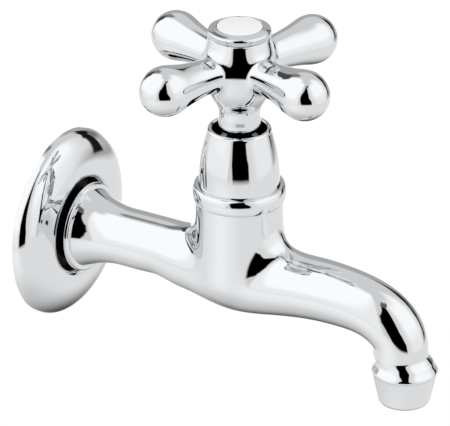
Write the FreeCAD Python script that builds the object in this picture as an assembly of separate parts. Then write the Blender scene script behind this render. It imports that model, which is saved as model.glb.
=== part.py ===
"""Wall-mounted basin tap: cast body and spout, wall flange, bell cover, cross handle,
and the valve and aerator pieces inside them.

Millimetres. The origin is on the inlet's axis in the plane of the wall. +X runs out
from the wall to the spout, +Z is up, and the valve's axis is upright at VALVE_X.
"""
import FreeCAD, Part
import math
import os

V = FreeCAD.Vector

# Main places
VALVE_X = 74.6            # wall to the valve's upright axis
OUTLET_X = 142.6          # wall to the outlet's upright axis
ARM_Z = 79.2              # height of the handle's arms above the inlet's axis

# Clearances
RUN_GAP = 0.06            # round a turning shaft
SLIDE_GAP = 0.12          # round the sliding valve carrier
SEAT_GAP = 0.05           # round a piece that is only located

# Inlet and its G1/2 pipe thread, whose ridges are closed rings
INLET_THREAD_R = 10.478
INLET_PITCH = 1.814
INLET_THREAD_DEPTH = 1.16
INLET_TAIL = 14.5         # thread standing out behind the wall plane
INLET_LAND = 1.0          # plain land behind the wall plane
INLET_BORE_R = 6.5
INLET_CHAMFER = 1.0
THREAD_FLANK_ANGLE = 27.5
THREAD_CREST_HALF = 0.16  # half the width of a crest

# Wall flange, a pressed brass dome with a turned-in well
FLANGE_R = 34.8
FLANGE_EDGE = 1.5
FLANGE_DEPTH = 8.7
FLANGE_HOLE_GAP = 2.2      # round the collar
FLANGE_CREST_OUT = 2.3     # from the hole out to the crest of the dome
FLANGE_LIP = 2.4          # depth of the rounded lip of the well
FLANGE_SHEET = 1.1
FLANGE_WELL_X = 3.6       # front of the well's floor
FLANGE_FLOOR_GAP = 0.922   # round the inlet thread

# Body: collar, trumpet and tube
COLLAR_R = 16.1
COLLAR_X = 9.3
COLLAR_T = 2.2
COLLAR_EDGE = 0.7         # rounding of its front edge
COLLAR_STEP = 0.8         # from the collar's edge in to the trumpet
SHANK_SEAT = 2.2          # width of the shank's shoulder on the floor of the well
TUBE_R = 10.7
TRUMPET_L = 15.9
TRUMPET_POWER = 2.06

# Body: belly, spout and nozzle
BELLY_IN = 0.2            # how much narrower the belly is than the barrel
BELLY_Z = -0.9
SHOULDER_R = 12.6         # run's radius on the wall side of the belly
SHOULDER_BACK = 14.0      # from the valve's axis back to that shoulder
SWELL_BACK = 22.5         # from the valve's axis back to the middle of the swell
TUBE_END_X = 44.0         # where the straight tube begins to swell
SPOUT_ROOT_R = 13.4
SPOUT_R = 11.3
SPOUT_END_R = 10.2
SPOUT_Z = -0.9
SPOUT_NECK_R = 9.9
SPOUT_NECK_Z = -17.0
SPOUT_WALL = 2.4
RING_R = 11.8
RING_DROP = 6.2           # from the spout's neck down to the ring
RING_EDGE = 0.7

# Body: barrel and bead
BARREL_OUT = 0.5          # how far the barrel stands out past the cover
BARREL_FOOT_IN = 1.3      # how much narrower its foot is, where it stands in the run
BARREL_SWELL = 15.0       # height over which it widens from its foot
BEAD_OUT = 1.7            # from the barrel out to the bead
BEAD_Z = 30.2
BEAD_HALF = 3.1
JUNCTION_R = 8.0          # fillet between barrel and run
COVER_SEAT_Z = 30.4       # floor of the groove that the cover stands in
SPIGOT_TOP_Z = 34.0
SPIGOT_GAP = 0.2          # inside the cover

# Water way
INLET_BORE_END = 46.0     # where the inlet's bore begins to drop below the seat
POCKET_Z = -7.4           # middle of the passage below the seat
POCKET_R = 4.9
SEAT_Z = 0.5
SEAT_R = 5.0
SEAT_LIP = 1.0            # height of the seat's lip above the chamber's floor
SEAT_LIP_T = 1.1
CHAMBER_R = 9.3
PORT_R = 4.4              # way out of the chamber to the spout
PORT_Z = 4.3

# Headwork: the screwed-in valve body
HEAD_THREAD_R = 10.42
HEAD_FOOT_Z = 12.6
HEAD_FOOT_GAP = 0.4       # round its foot in the chamber
HEAD_FOOT_H = 2.0         # plain foot below its thread
GASKET_T = 1.0
GASKET_IN = 0.1           # from the spigot in to the gasket
HEX_FLATS = 21.0
HEX_H = 6.0
HEX_CHAMFER = 0.8
HEAD_COLLAR_GAP = 0.6     # inside the cover
HEAD_COLLAR_H = 5.4
HEAD_NECK_R = 8.4
HEAD_TOP_Z = 50.4
GUIDE_FLATS = 13.2        # hexagonal guide for the valve carrier

# Rubber ring that grips the cover
GRIP_CORD_R = 1.2
GRIP_GROOVE_GAP = 0.1

# Bell cover
COVER_BASE_R = 14.6
COVER_MID_IN = 0.65       # from the base in to the middle
COVER_MID_Z = 43.0
COVER_TOP_Z = 55.3
COVER_HOLE_GAP = 2.15     # round the handle's neck
COVER_RIM_W = 1.75        # width of its rolled rim
COVER_WALL = 2.0
COVER_BORE_TOP_Z = 45.5
COVER_ROLL = 1.0          # depth of its rolled top edge

# Spindle, which turns but does not rise, with a left-hand thread
STEM_R = 4.5
SPINDLE_FOOT_Z = 13.0
SPINDLE_CHAMFER = 0.8
THRUST_R = 6.4
THRUST_Z = 32.2
THRUST_T = 2.2
THRUST_WASHER_IN = 0.1    # from the thrust collar in to the washer
THRUST_WASHER_T = 0.8
THRUST_PLAY = 0.1
SPINDLE_TOP_GAP = 1.0     # under the handle's web
SPLINE_FOOT_Z = 58.5
SPLINE_R = 4.0
SPLINE_DEPTH = 0.45
SPLINE_TEETH = 20
STEM_CORD_R = 0.6
STEM_GROOVE_W = 1.6
STEM_RING_LOW_Z = 39.0
STEM_RING_HIGH_Z = 44.6
CLIP_T = 1.0
CLIP_R = 6.6
CLIP_DEPTH = 0.8          # depth of its groove in the spindle
CLIP_PLAY = 0.2           # between the clip and the headwork's top
CLIP_MOUTH = 4.0          # width of the clip's open side

# Valve carrier, its rubber washer and screw
THREAD_LEAD = 2.1
TURNS = 2.125             # closed to fully open
PLATE_R = 8.2
PLATE_T = 3.0
CARRIER_TOP_Z = 25.0
CARRIER_RELIEF_R = 7.2    # rounds the corners of its hexagon
CARRIER_FLOOR_T = 3.7     # solid metal between the plate's underside and the threaded bore
PLATE_EDGE = 0.4          # rounding of the plate's edges
WASHER_R = 7.2
WASHER_T = 4.0
VALVE_SCREW_R = 2.0
VALVE_SCREW_GRIP = 3.0    # screwed into the carrier
VALVE_SCREW_HEAD_R = 3.6
VALVE_SCREW_HEAD_H = 1.8
SLOT_W = 1.0
SLOT_DEPTH = 0.9
SCREW_EDGE = 0.8          # rounding of the screws' heads
SCREW_TIP_GAP = 0.2       # below a screw's tip in its hole

# Cross handle
NECK_RISE = 0.6           # from the cover's rim up to the neck
NECK_R = 7.55
NECK_EDGE = 1.3           # rounding of the neck's foot
NECK_TOP_Z = 61.6         # where the neck begins to swell into the hub
HUB_R = 13.1
HUB_TOP_RISE = 11.4       # from the arms up to the hub's top
HUB_TOP_R = 11.15
ARM_ANGLE = -18.6         # first arm, from +X
ARM_COUNT = 4
ARM_ROOT_R = 6.0
ARM_WAIST_R = 6.75
ARM_WAIST_REACH = 21.9
ARM_BALL_R = 9.1
ARM_BALL_REACH = 34.0     # from the valve's axis to the ball's widest ring
ARM_TIP_REACH = 44.3
ARM_FILLET = 1.6
SOCKET_MOUTH_GAP = 0.7    # round the spindle's stem
WEB_Z = 70.5              # underside of the web that the handle's screw pulls down
WEB_T = 4.0
WELL_R = 7.0
CAP_THREAD_IN = 1.95      # from the hub's top in to the cap's thread
CAP_THREAD_H = 5.0

# Handle's screw and spring washer
HANDLE_SCREW_R = 2.0
HANDLE_SCREW_L = 14.0
HANDLE_SCREW_HEAD_R = 3.9
HANDLE_SCREW_HEAD_H = 2.8
HANDLE_SLOT_DEPTH = 1.2
HANDLE_SCREW_PLAY = 0.2   # round the screw in the handle's web and the spring washer
SPRING_WASHER_R = 3.8
SPRING_WASHER_T = 1.0
SPRING_WASHER_SLIT = 0.6

# Index cap and its plain disc
CAP_OUT = 0.05            # how far the cap stands out past the hub's top
CAP_BAND_H = 2.4          # knurled band
CAP_H = 3.3               # hub's top to the top of the bevel
CAP_RIM_W = 0.4           # flat rim round the disc
CAP_SHOULDER = 0.2        # height of the plain step under the knurled band
CAP_SKIRT_L = 4.4
CAP_WALL = 1.3
KNURL_COUNT = 100
KNURL_DEPTH = 0.25
DISC_R = 8.1
DISC_T = 0.9
DISC_CROWN = 0.35
DISC_PROUD = 0.1          # how far the disc's edge stands above the cap's rim

# Aerator at the nozzle
MOUTH_THREAD_R = 9.0
MOUTH_THREAD_L = 3.4
MOUTH_GASKET_T = 1.4
MOUTH_GASKET_BORE_R = 6.6
HOUSING_IN = 0.25         # from the ring in to the housing
HOUSING_TIP_R = 9.35
HOUSING_L = 11.8          # below the spout's mouth
HOUSING_TIP_ROUND = 1.7
HOUSING_BORE_R = 7.2
HOUSING_LIP_R = 6.4
HOUSING_LIP_T = 2.4
HOUSING_EDGE = 0.3        # rounding of its small edges
CAGE_WALL = 0.8
CAGE_PLATE_T = 1.2
CAGE_JETS = 12
CAGE_JET_R = 0.75
CAGE_JET_REACH = 4.4      # from the outlet's axis to the ring of jets
MESH_T = 0.4
MESH_PITCH = 1.7
MESH_WIRE = 0.5

# Radii that follow from the sizes above
FLANGE_HOLE_R = COLLAR_R + FLANGE_HOLE_GAP
FLANGE_CREST_R = FLANGE_HOLE_R + FLANGE_CREST_OUT
FLANGE_FLOOR_HOLE_R = INLET_THREAD_R + FLANGE_FLOOR_GAP
SHANK_R = FLANGE_FLOOR_HOLE_R + SHANK_SEAT
COVER_BORE_R = COVER_BASE_R - COVER_WALL
COVER_MID_R = COVER_BASE_R - COVER_MID_IN
COVER_HOLE_R = NECK_R + COVER_HOLE_GAP
COVER_TOP_R = COVER_HOLE_R + COVER_RIM_W
BARREL_R = COVER_BASE_R + BARREL_OUT
BARREL_FOOT_R = BARREL_R - BARREL_FOOT_IN
BELLY_R = BARREL_R - BELLY_IN
BEAD_R = BARREL_R + BEAD_OUT
SPIGOT_R = COVER_BORE_R - SPIGOT_GAP
GASKET_R = SPIGOT_R - GASKET_IN
HEAD_COLLAR_R = COVER_BORE_R - HEAD_COLLAR_GAP
HEAD_FOOT_R = CHAMBER_R - HEAD_FOOT_GAP
GRIP_MEAN_R = COVER_BORE_R - GRIP_CORD_R
STEM_GROOVE_R = STEM_R + RUN_GAP / 2 - 2 * STEM_CORD_R
THRUST_WASHER_R = THRUST_R - THRUST_WASHER_IN
SOCKET_MOUTH_R = STEM_R + SOCKET_MOUTH_GAP
CAP_THREAD_R = HUB_TOP_R - CAP_THREAD_IN
CAP_R = HUB_TOP_R + CAP_OUT
CAP_RIM_R = DISC_R + CAP_RIM_W
SPOUT_BORE_R = SPOUT_NECK_R - SPOUT_WALL
HOUSING_R = RING_R - HOUSING_IN
CAGE_R = HOUSING_BORE_R - SEAT_GAP

# Heights and places that follow from the sizes above
COLLAR_FRONT_X = COLLAR_X + COLLAR_T
SEAT_FLOOR_Z = SEAT_Z - SEAT_LIP
HEX_FOOT_Z = SPIGOT_TOP_Z + GASKET_T
HEAD_COLLAR_Z = HEX_FOOT_Z + HEX_H
GRIP_Z = HEAD_COLLAR_Z + HEAD_COLLAR_H / 2
THRUST_SHOULDER_Z = THRUST_Z + THRUST_T + THRUST_WASHER_T + THRUST_PLAY
CLIP_Z = HEAD_TOP_Z + CLIP_PLAY
PLATE_Z = SEAT_Z + WASHER_T
NECK_FOOT_Z = COVER_TOP_Z + NECK_RISE
HUB_TOP_Z = ARM_Z + HUB_TOP_RISE
SPINDLE_TOP_Z = WEB_Z - SPINDLE_TOP_GAP
CAP_RIM_Z = HUB_TOP_Z + CAP_H
RING_Z = SPOUT_NECK_Z - RING_DROP
MOUTH_Z = RING_Z - RING_EDGE
HOUSING_TIP_Z = MOUTH_Z - HOUSING_L
GASKET_FOOT_Z = MOUTH_Z + MOUTH_THREAD_L
MOUTH_SHOULDER_Z = GASKET_FOOT_Z + MOUTH_GASKET_T
LIP_TOP_Z = HOUSING_TIP_Z + HOUSING_LIP_T
DISC_FLOOR_Z = CAP_RIM_Z - DISC_T + DISC_PROUD


def outline(items):
    """Closed wire in the XZ plane. An item is a corner (x, z), a rounded corner
    (x, z, radius), or a list of points that a smooth curve runs through."""
    stops = []
    for item in items:
        if isinstance(item, list):
            points = [V(x, 0, z) for x, z in item]
            stops.append((points[-1], 0, points))
        else:
            stops.append((V(item[0], 0, item[1]), item[2] if len(item) > 2 else 0, None))
    entries = []
    count = len(stops)
    for i, (point, radius, _) in enumerate(stops):
        if not radius:
            entries.append((point, None, point))
            continue
        back = (stops[i - 1][0] - point).normalize()
        ahead = (stops[(i + 1) % count][0] - point).normalize()
        half = back.getAngle(ahead) / 2
        middle = (back + ahead).normalize()
        run = radius / math.tan(half)
        crest = point + middle * (radius / math.sin(half) - radius)
        entries.append((point + back * run, crest, point + ahead * run))
    edges = []
    for i in range(count):
        start = entries[i][2]
        enter, crest, leave = entries[(i + 1) % count]
        through = stops[(i + 1) % count][2]
        if through:
            curve = Part.BSplineCurve()
            curve.interpolate([start] + through)
            edges.append(curve.toShape())
        elif start.distanceToPoint(enter) > 1e-6:
            edges.append(Part.LineSegment(start, enter).toShape())
        if crest:
            edges.append(Part.Arc(enter, crest, leave).toShape())
    return Part.Wire(edges)


def turned_x(items):
    """Solid of revolution about the inlet's axis, from corners given as (x, radius)."""
    return Part.Face(outline(items)).revolve(V(0, 0, 0), V(1, 0, 0), 360)


def turned_z(items, x=0.0):
    """Solid of revolution about an upright axis at x, from corners given as (radius, z)."""
    solid = Part.Face(outline(items)).revolve(V(0, 0, 0), V(0, 0, 1), 360)
    solid.translate(V(x, 0, 0))
    return solid


def rod(radius, low, high, x=VALVE_X):
    """Upright cylinder at x, from one height to another."""
    return Part.makeCylinder(radius, high - low, V(x, 0, low))


def tube(outer, inner, low, high, x=VALVE_X):
    """Upright round tube at x."""
    return rod(outer, low, high, x).cut(rod(inner, low, high, x))


def hexagon(flats, low, high, x=VALVE_X):
    """Upright hexagonal prism at x, with flats facing +Y and -Y."""
    corner = flats / math.sqrt(3)
    points = [V(x + corner * math.cos(math.radians(a)), corner * math.sin(math.radians(a)), low)
              for a in range(0, 420, 60)]
    return Part.Face(Part.makePolygon(points)).extrude(V(0, 0, high - low))


def ring_cord(mean_r, cord_r, z, x=VALVE_X):
    """Rubber ring of round cord, lying level."""
    return Part.makeTorus(mean_r, cord_r, V(x, 0, z), V(0, 0, 1))


def loft(stations, leave=V(0, 0, -1)):
    """Smooth round run through stations (x, z, radius), each ring square to the line,
    which starts along +X and ends along leave."""
    line = Part.BSplineCurve()
    places = [V(x, 0, z) for x, z, _ in stations]
    line.interpolate(places, InitialTangent=V(1, 0, 0), FinalTangent=leave)
    rings = []
    for place, (_, _, radius) in zip(places, stations):
        way = line.tangent(line.parameter(place))[0]
        ring = Part.Wire(Part.makeCircle(radius, V(0, 0, 0), V(1, 0, 0)))
        turn = FreeCAD.Rotation(V(0, 1, 0), math.degrees(math.atan2(-way.z, way.x)))
        ring.Placement = FreeCAD.Placement(place, turn)
        rings.append(ring)
    return Part.makeLoft(rings, True, False)


def quarter(start, end, square_end=True, steps=6):
    """Points of a quarter ellipse after start. It ends square to the first axis, or,
    with square_end false, starts square to it and ends along it."""
    (a0, b0), (a1, b1) = start, end
    points = []
    for i in range(1, steps + 1):
        turn = math.pi / 2 * i / steps
        sine = math.sin(turn)
        cosine = math.cos(turn)
        if square_end:
            points.append((a0 + (a1 - a0) * sine, b1 + (b0 - b1) * cosine))
        else:
            points.append((a1 + (a0 - a1) * cosine, b0 + (b1 - b0) * sine))
    return points


def star_bar(crest_r, depth, teeth, low, high):
    """Upright bar at the valve's axis with pointed teeth all round."""
    points = []
    for i in range(2 * teeth + 1):
        angle = math.pi * i / teeth
        radius = crest_r if i % 2 == 0 else crest_r - depth
        points.append(V(VALVE_X + radius * math.cos(angle), radius * math.sin(angle), low))
    return Part.Face(Part.makePolygon(points)).extrude(V(0, 0, high - low))


def spout_stations():
    """Stations of the spout's outside, from past the belly to the neck above the ring."""
    reach = OUTLET_X - VALVE_X
    return [
        (VALVE_X + 0.45 * reach, SPOUT_Z, SPOUT_R),
        (VALVE_X + 0.67 * reach, SPOUT_Z - 0.3, SPOUT_END_R + 0.5),
        (VALVE_X + 0.83 * reach, SPOUT_Z - 2.6, SPOUT_END_R),
        (VALVE_X + 0.94 * reach, SPOUT_Z - 7.7, SPOUT_END_R),
        (OUTLET_X - 0.4, SPOUT_Z - 13.0, SPOUT_NECK_R + 0.1),
        (OUTLET_X, SPOUT_NECK_Z, SPOUT_NECK_R),
    ]


def run_outside():
    """The casting from the tube to the spout's neck, with the barrel blended into it."""
    reach = OUTLET_X - VALVE_X
    run = loft([
        (TUBE_END_X, 0, TUBE_R),
        (VALVE_X - SWELL_BACK, 0.2 * BELLY_Z, TUBE_R + 0.3 * (SHOULDER_R - TUBE_R)),
        (VALVE_X - SHOULDER_BACK, 0.7 * BELLY_Z, SHOULDER_R),
        (VALVE_X, BELLY_Z, BELLY_R),
        (VALVE_X + 0.22 * reach, SPOUT_Z, SPOUT_ROOT_R),
    ] + spout_stations())
    swell_top = BELLY_Z + BARREL_SWELL
    widening = BARREL_R - BARREL_FOOT_R
    barrel = turned_z([
        (0, BELLY_Z), (BARREL_FOOT_R, BELLY_Z),
        [(BARREL_FOOT_R + 0.3 * widening, BELLY_Z + BARREL_SWELL / 3),
         (BARREL_FOOT_R + 0.85 * widening, BELLY_Z + 0.75 * BARREL_SWELL),
         (BARREL_R, swell_top)],
        (BARREL_R, BEAD_Z), (0, BEAD_Z)], VALVE_X)
    joined = run.fuse(barrel)
    seam = [edge for edge in joined.Edges
            if edge.BoundBox.XLength > BARREL_R and edge.BoundBox.YLength > BARREL_R
            and edge.BoundBox.ZMin > BELLY_Z + 1 and edge.BoundBox.ZMax < swell_top - 0.5]
    return joined.makeFillet(JUNCTION_R, seam)


def thread_ridges():
    """Corners of the tail's ridges, from its chamfered tip to the plain land."""
    root_r = INLET_THREAD_R - INLET_THREAD_DEPTH
    flank = INLET_THREAD_DEPTH * math.tan(math.radians(THREAD_FLANK_ANGLE))
    room = INLET_TAIL - INLET_LAND - INLET_CHAMFER - flank
    corners = [(-INLET_TAIL, root_r - INLET_CHAMFER), (INLET_CHAMFER - INLET_TAIL, root_r)]
    for i in reversed(range(1, int(room / INLET_PITCH) + 1)):
        crest_x = -INLET_LAND - i * INLET_PITCH
        corners += [
            (crest_x - THREAD_CREST_HALF - flank, root_r), (crest_x - THREAD_CREST_HALF, INLET_THREAD_R),
            (crest_x + THREAD_CREST_HALF, INLET_THREAD_R), (crest_x + THREAD_CREST_HALF + flank, root_r)]
    return corners + [(-INLET_LAND - flank, root_r), (-INLET_LAND, INLET_THREAD_R)]


def inlet_entry():
    """Threaded tail with its plain land, shank, collar, trumpet and straight tube."""
    trumpet = []
    for i in range(1, 7):
        share = i / 6
        flare = (COLLAR_R - COLLAR_STEP - TUBE_R) * (1 - share) ** TRUMPET_POWER
        trumpet.append((COLLAR_FRONT_X + TRUMPET_L * share, TUBE_R + flare))
    return turned_x([
        (TUBE_END_X, 0), (-INLET_TAIL, 0), *thread_ridges(),
        (FLANGE_WELL_X, INLET_THREAD_R), (FLANGE_WELL_X, SHANK_R),
        (COLLAR_X, SHANK_R), (COLLAR_X, COLLAR_R, COLLAR_EDGE),
        (COLLAR_FRONT_X, COLLAR_R, COLLAR_EDGE), (COLLAR_FRONT_X, COLLAR_R - COLLAR_STEP), trumpet,
        (TUBE_END_X, TUBE_R)])


def bead_and_spigot():
    """Bead round the barrel's top, the groove that the cover stands in, and the spigot."""
    swell = []
    for i in range(1, 9):
        turn = math.pi * (i / 8 - 0.5)
        swell.append((BARREL_R + (BEAD_R - BARREL_R) * math.cos(turn), BEAD_Z + BEAD_HALF * math.sin(turn)))
    groove_r = COVER_BASE_R + SEAT_GAP
    return turned_z([
        (0, BEAD_Z - BEAD_HALF), (BARREL_R, BEAD_Z - BEAD_HALF), swell,
        (groove_r, BEAD_Z + BEAD_HALF), (groove_r, COVER_SEAT_Z), (SPIGOT_R, COVER_SEAT_Z),
        (SPIGOT_R, SPIGOT_TOP_Z), (0, SPIGOT_TOP_Z)], VALVE_X)


def spout_mouth():
    """Flare from the spout's neck to the ring above the aerator."""
    drop = SPOUT_NECK_Z - RING_Z - RING_EDGE
    spread = RING_R - SPOUT_NECK_R
    return turned_z([
        (0, MOUTH_Z), (0, SPOUT_NECK_Z), (SPOUT_NECK_R, SPOUT_NECK_Z),
        [(SPOUT_NECK_R + 0.08 * spread, SPOUT_NECK_Z - 0.33 * drop),
         (SPOUT_NECK_R + 0.4 * spread, SPOUT_NECK_Z - 0.7 * drop),
         (RING_R - 0.2, RING_Z + RING_EDGE)],
        (RING_R, RING_Z), (RING_R - 0.2, MOUTH_Z)], OUTLET_X)


def water_way():
    """Everything that is hollow in the casting."""
    inlet = Part.makeCylinder(INLET_BORE_R, INLET_TAIL + INLET_BORE_END, V(-INLET_TAIL, 0, 0), V(1, 0, 0))
    drop = loft([
        (INLET_BORE_END, 0, INLET_BORE_R),
        (VALVE_X - 15.0, 0.6 * POCKET_Z, POCKET_R + 0.4),
        (VALVE_X - 8.5, 0.96 * POCKET_Z, POCKET_R),
        (VALVE_X, POCKET_Z, POCKET_R)], V(1, 0, 0))
    pocket = Part.makeSphere(SEAT_R, V(VALVE_X, 0, POCKET_Z))
    orifice = rod(SEAT_R, POCKET_Z, SEAT_Z)
    chamber_top = HEAD_FOOT_Z + HEAD_FOOT_H
    chamber = rod(CHAMBER_R, SEAT_FLOOR_Z, chamber_top)
    seat = tube(SEAT_R + SEAT_LIP_T, SEAT_R, SEAT_FLOOR_Z, SEAT_Z)
    head_bore = rod(HEAD_THREAD_R + SEAT_GAP, chamber_top, SPIGOT_TOP_Z)
    spout = loft([
        (VALVE_X + 4.0, PORT_Z, PORT_R),
        (VALVE_X + 13.0, 0.8 * PORT_Z, PORT_R + 0.6),
    ] + [(x, z, radius - SPOUT_WALL) for x, z, radius in spout_stations()])
    neck = rod(SPOUT_BORE_R, MOUTH_Z, SPOUT_NECK_Z, OUTLET_X)
    mouth = rod(MOUTH_THREAD_R + SEAT_GAP, MOUTH_Z, MOUTH_SHOULDER_Z, OUTLET_X)
    return [inlet, drop, pocket, orifice, chamber.cut(seat), head_bore, spout, neck, mouth]


def tap_body():
    """Cast brass body: inlet tail, collar, tube, belly, barrel, bead, spout and ring."""
    solid = run_outside().fuse([inlet_entry(), bead_and_spigot(), spout_mouth()])
    for hollow in water_way():
        solid = solid.cut(hollow)
    return solid


def wall_flange():
    """Pressed dome that covers the hole in the wall, with a well round the collar."""
    back_x = FLANGE_WELL_X - FLANGE_SHEET
    lip_x = FLANGE_DEPTH - FLANGE_LIP
    crest = (FLANGE_DEPTH, FLANGE_CREST_R)
    inner_crest = (FLANGE_DEPTH - FLANGE_SHEET, FLANGE_CREST_R)
    edge = (FLANGE_EDGE, FLANGE_R)
    inner_edge = (FLANGE_EDGE, FLANGE_R - FLANGE_SHEET)
    well = (lip_x, FLANGE_HOLE_R)
    back_well = (lip_x, FLANGE_HOLE_R + FLANGE_SHEET)
    return turned_x([
        (0, FLANGE_R), edge, quarter(edge, crest), quarter(crest, well, False),
        (FLANGE_WELL_X, FLANGE_HOLE_R), (FLANGE_WELL_X, FLANGE_FLOOR_HOLE_R),
        (back_x, FLANGE_FLOOR_HOLE_R), (back_x, FLANGE_HOLE_R + FLANGE_SHEET),
        back_well, quarter(back_well, inner_crest), quarter(inner_crest, inner_edge, False),
        (0, FLANGE_R - FLANGE_SHEET)])


def bell_cover():
    """Bell-shaped cover over the headwork, open at the top round the handle's neck."""
    shoulder = (COVER_TOP_R, COVER_TOP_Z - COVER_ROLL)
    crown = (COVER_TOP_R - COVER_ROLL, COVER_TOP_Z)
    hole = (COVER_HOLE_R, COVER_TOP_Z - COVER_ROLL)
    return turned_z([
        (COVER_BORE_R, COVER_SEAT_Z), (COVER_BASE_R, COVER_SEAT_Z),
        [(COVER_BASE_R - 0.05, COVER_SEAT_Z + 3.5), (COVER_MID_R, COVER_MID_Z), shoulder],
        quarter(shoulder, crown, False), quarter(crown, hole),
        (COVER_HOLE_R, COVER_TOP_Z - 2 * COVER_ROLL), (COVER_BORE_R, COVER_BORE_TOP_Z)], VALVE_X)


def cover_ring():
    """Rubber ring in the headwork's collar that holds the cover."""
    return ring_cord(GRIP_MEAN_R, GRIP_CORD_R, GRIP_Z)


def headwork():
    """Brass valve body screwed into the barrel, with a hexagon and a spindle bore."""
    groove_half = GRIP_CORD_R + GRIP_GROOVE_GAP
    groove_r = GRIP_MEAN_R - GRIP_CORD_R
    turned = turned_z([
        (0, HEAD_FOOT_Z), (HEAD_FOOT_R, HEAD_FOOT_Z), (HEAD_FOOT_R, HEAD_FOOT_Z + HEAD_FOOT_H),
        (HEAD_THREAD_R, HEAD_FOOT_Z + HEAD_FOOT_H), (HEAD_THREAD_R, HEAD_COLLAR_Z),
        (HEAD_COLLAR_R, HEAD_COLLAR_Z), (HEAD_COLLAR_R, GRIP_Z - groove_half),
        (groove_r, GRIP_Z - groove_half), (groove_r, GRIP_Z + groove_half),
        (HEAD_COLLAR_R, GRIP_Z + groove_half), (HEAD_COLLAR_R, HEAD_COLLAR_Z + HEAD_COLLAR_H),
        (HEAD_NECK_R, HEAD_COLLAR_Z + HEAD_COLLAR_H), (HEAD_NECK_R, HEAD_TOP_Z, 0.5), (0, HEAD_TOP_Z)],
        VALVE_X)
    corner_r = HEX_FLATS / math.sqrt(3)
    ease = turned_z([
        (0, HEX_FOOT_Z), (corner_r - HEX_CHAMFER, HEX_FOOT_Z), (corner_r, HEX_FOOT_Z + HEX_CHAMFER / 2),
        (corner_r, HEAD_COLLAR_Z), (0, HEAD_COLLAR_Z)], VALVE_X)
    nut = hexagon(HEX_FLATS, HEX_FOOT_Z, HEAD_COLLAR_Z).common(ease)
    guide = hexagon(GUIDE_FLATS, HEAD_FOOT_Z, THRUST_SHOULDER_Z)
    bore = rod(STEM_R + RUN_GAP, THRUST_SHOULDER_Z, HEAD_TOP_Z)
    return turned.fuse(nut).cut(guide).cut(bore)


def headwork_gasket():
    """Fibre gasket under the headwork's hexagon."""
    return tube(GASKET_R, HEAD_THREAD_R + SEAT_GAP, SPIGOT_TOP_Z, HEX_FOOT_Z)


def spindle():
    """Turning spindle: threaded foot, thrust collar, sealed stem and splined head."""
    items = [
        (0, SPINDLE_FOOT_Z), (STEM_R - SPINDLE_CHAMFER, SPINDLE_FOOT_Z),
        (STEM_R, SPINDLE_FOOT_Z + SPINDLE_CHAMFER),
        (STEM_R, THRUST_Z), (THRUST_R, THRUST_Z), (THRUST_R, THRUST_Z + THRUST_T),
        (STEM_R, THRUST_Z + THRUST_T)]
    for z in (STEM_RING_LOW_Z, STEM_RING_HIGH_Z):
        low = z - STEM_GROOVE_W / 2
        high = z + STEM_GROOVE_W / 2
        items += [(STEM_R, low), (STEM_GROOVE_R, low), (STEM_GROOVE_R, high), (STEM_R, high)]
    items += [
        (STEM_R, CLIP_Z), (STEM_R - CLIP_DEPTH, CLIP_Z), (STEM_R - CLIP_DEPTH, CLIP_Z + CLIP_T),
        (STEM_R, CLIP_Z + CLIP_T), (STEM_R, SPLINE_FOOT_Z), (0, SPLINE_FOOT_Z)]
    head = star_bar(SPLINE_R, SPLINE_DEPTH, SPLINE_TEETH, SPLINE_FOOT_Z, SPINDLE_TOP_Z)
    hole_end = WEB_Z + WEB_T + SPRING_WASHER_T - HANDLE_SCREW_L - SCREW_TIP_GAP
    hole = rod(HANDLE_SCREW_R, hole_end, SPINDLE_TOP_Z)
    return turned_z(items, VALVE_X).fuse(head).cut(hole)


def thrust_washer():
    """Bronze washer between the spindle's collar and the headwork's shoulder."""
    low = THRUST_Z + THRUST_T
    return tube(THRUST_WASHER_R, STEM_R + RUN_GAP, low, low + THRUST_WASHER_T)


def stem_ring(z):
    """Rubber ring that seals the spindle."""
    return ring_cord(STEM_GROOVE_R + STEM_CORD_R, STEM_CORD_R, z)


def retaining_clip():
    """Open spring clip that holds the spindle down in the headwork."""
    ring = tube(CLIP_R, STEM_R - CLIP_DEPTH, CLIP_Z, CLIP_Z + CLIP_T)
    mouth = Part.makeBox(CLIP_R + 1, CLIP_MOUTH, CLIP_T, V(VALVE_X, -CLIP_MOUTH / 2, CLIP_Z))
    return ring.cut(mouth)


def valve_carrier():
    """Non-turning nut that the spindle lifts, with the plate that holds the washer."""
    shank = hexagon(GUIDE_FLATS - 2 * SLIDE_GAP, PLATE_Z, CARRIER_TOP_Z)
    shank = shank.common(rod(CARRIER_RELIEF_R, PLATE_Z, CARRIER_TOP_Z))
    plate = turned_z([
        (0, PLATE_Z), (PLATE_R, PLATE_Z, PLATE_EDGE), (PLATE_R, PLATE_Z + PLATE_T, PLATE_EDGE),
        (0, PLATE_Z + PLATE_T)], VALVE_X)
    bore = rod(STEM_R + RUN_GAP, PLATE_Z + CARRIER_FLOOR_T, CARRIER_TOP_Z)
    screw_hole = rod(VALVE_SCREW_R, PLATE_Z, PLATE_Z + VALVE_SCREW_GRIP + SCREW_TIP_GAP)
    return shank.fuse(plate).cut(bore).cut(screw_hole)


def seat_washer():
    """Rubber washer that closes on the seat."""
    return tube(WASHER_R, VALVE_SCREW_R + SEAT_GAP, SEAT_Z, PLATE_Z)


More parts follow.
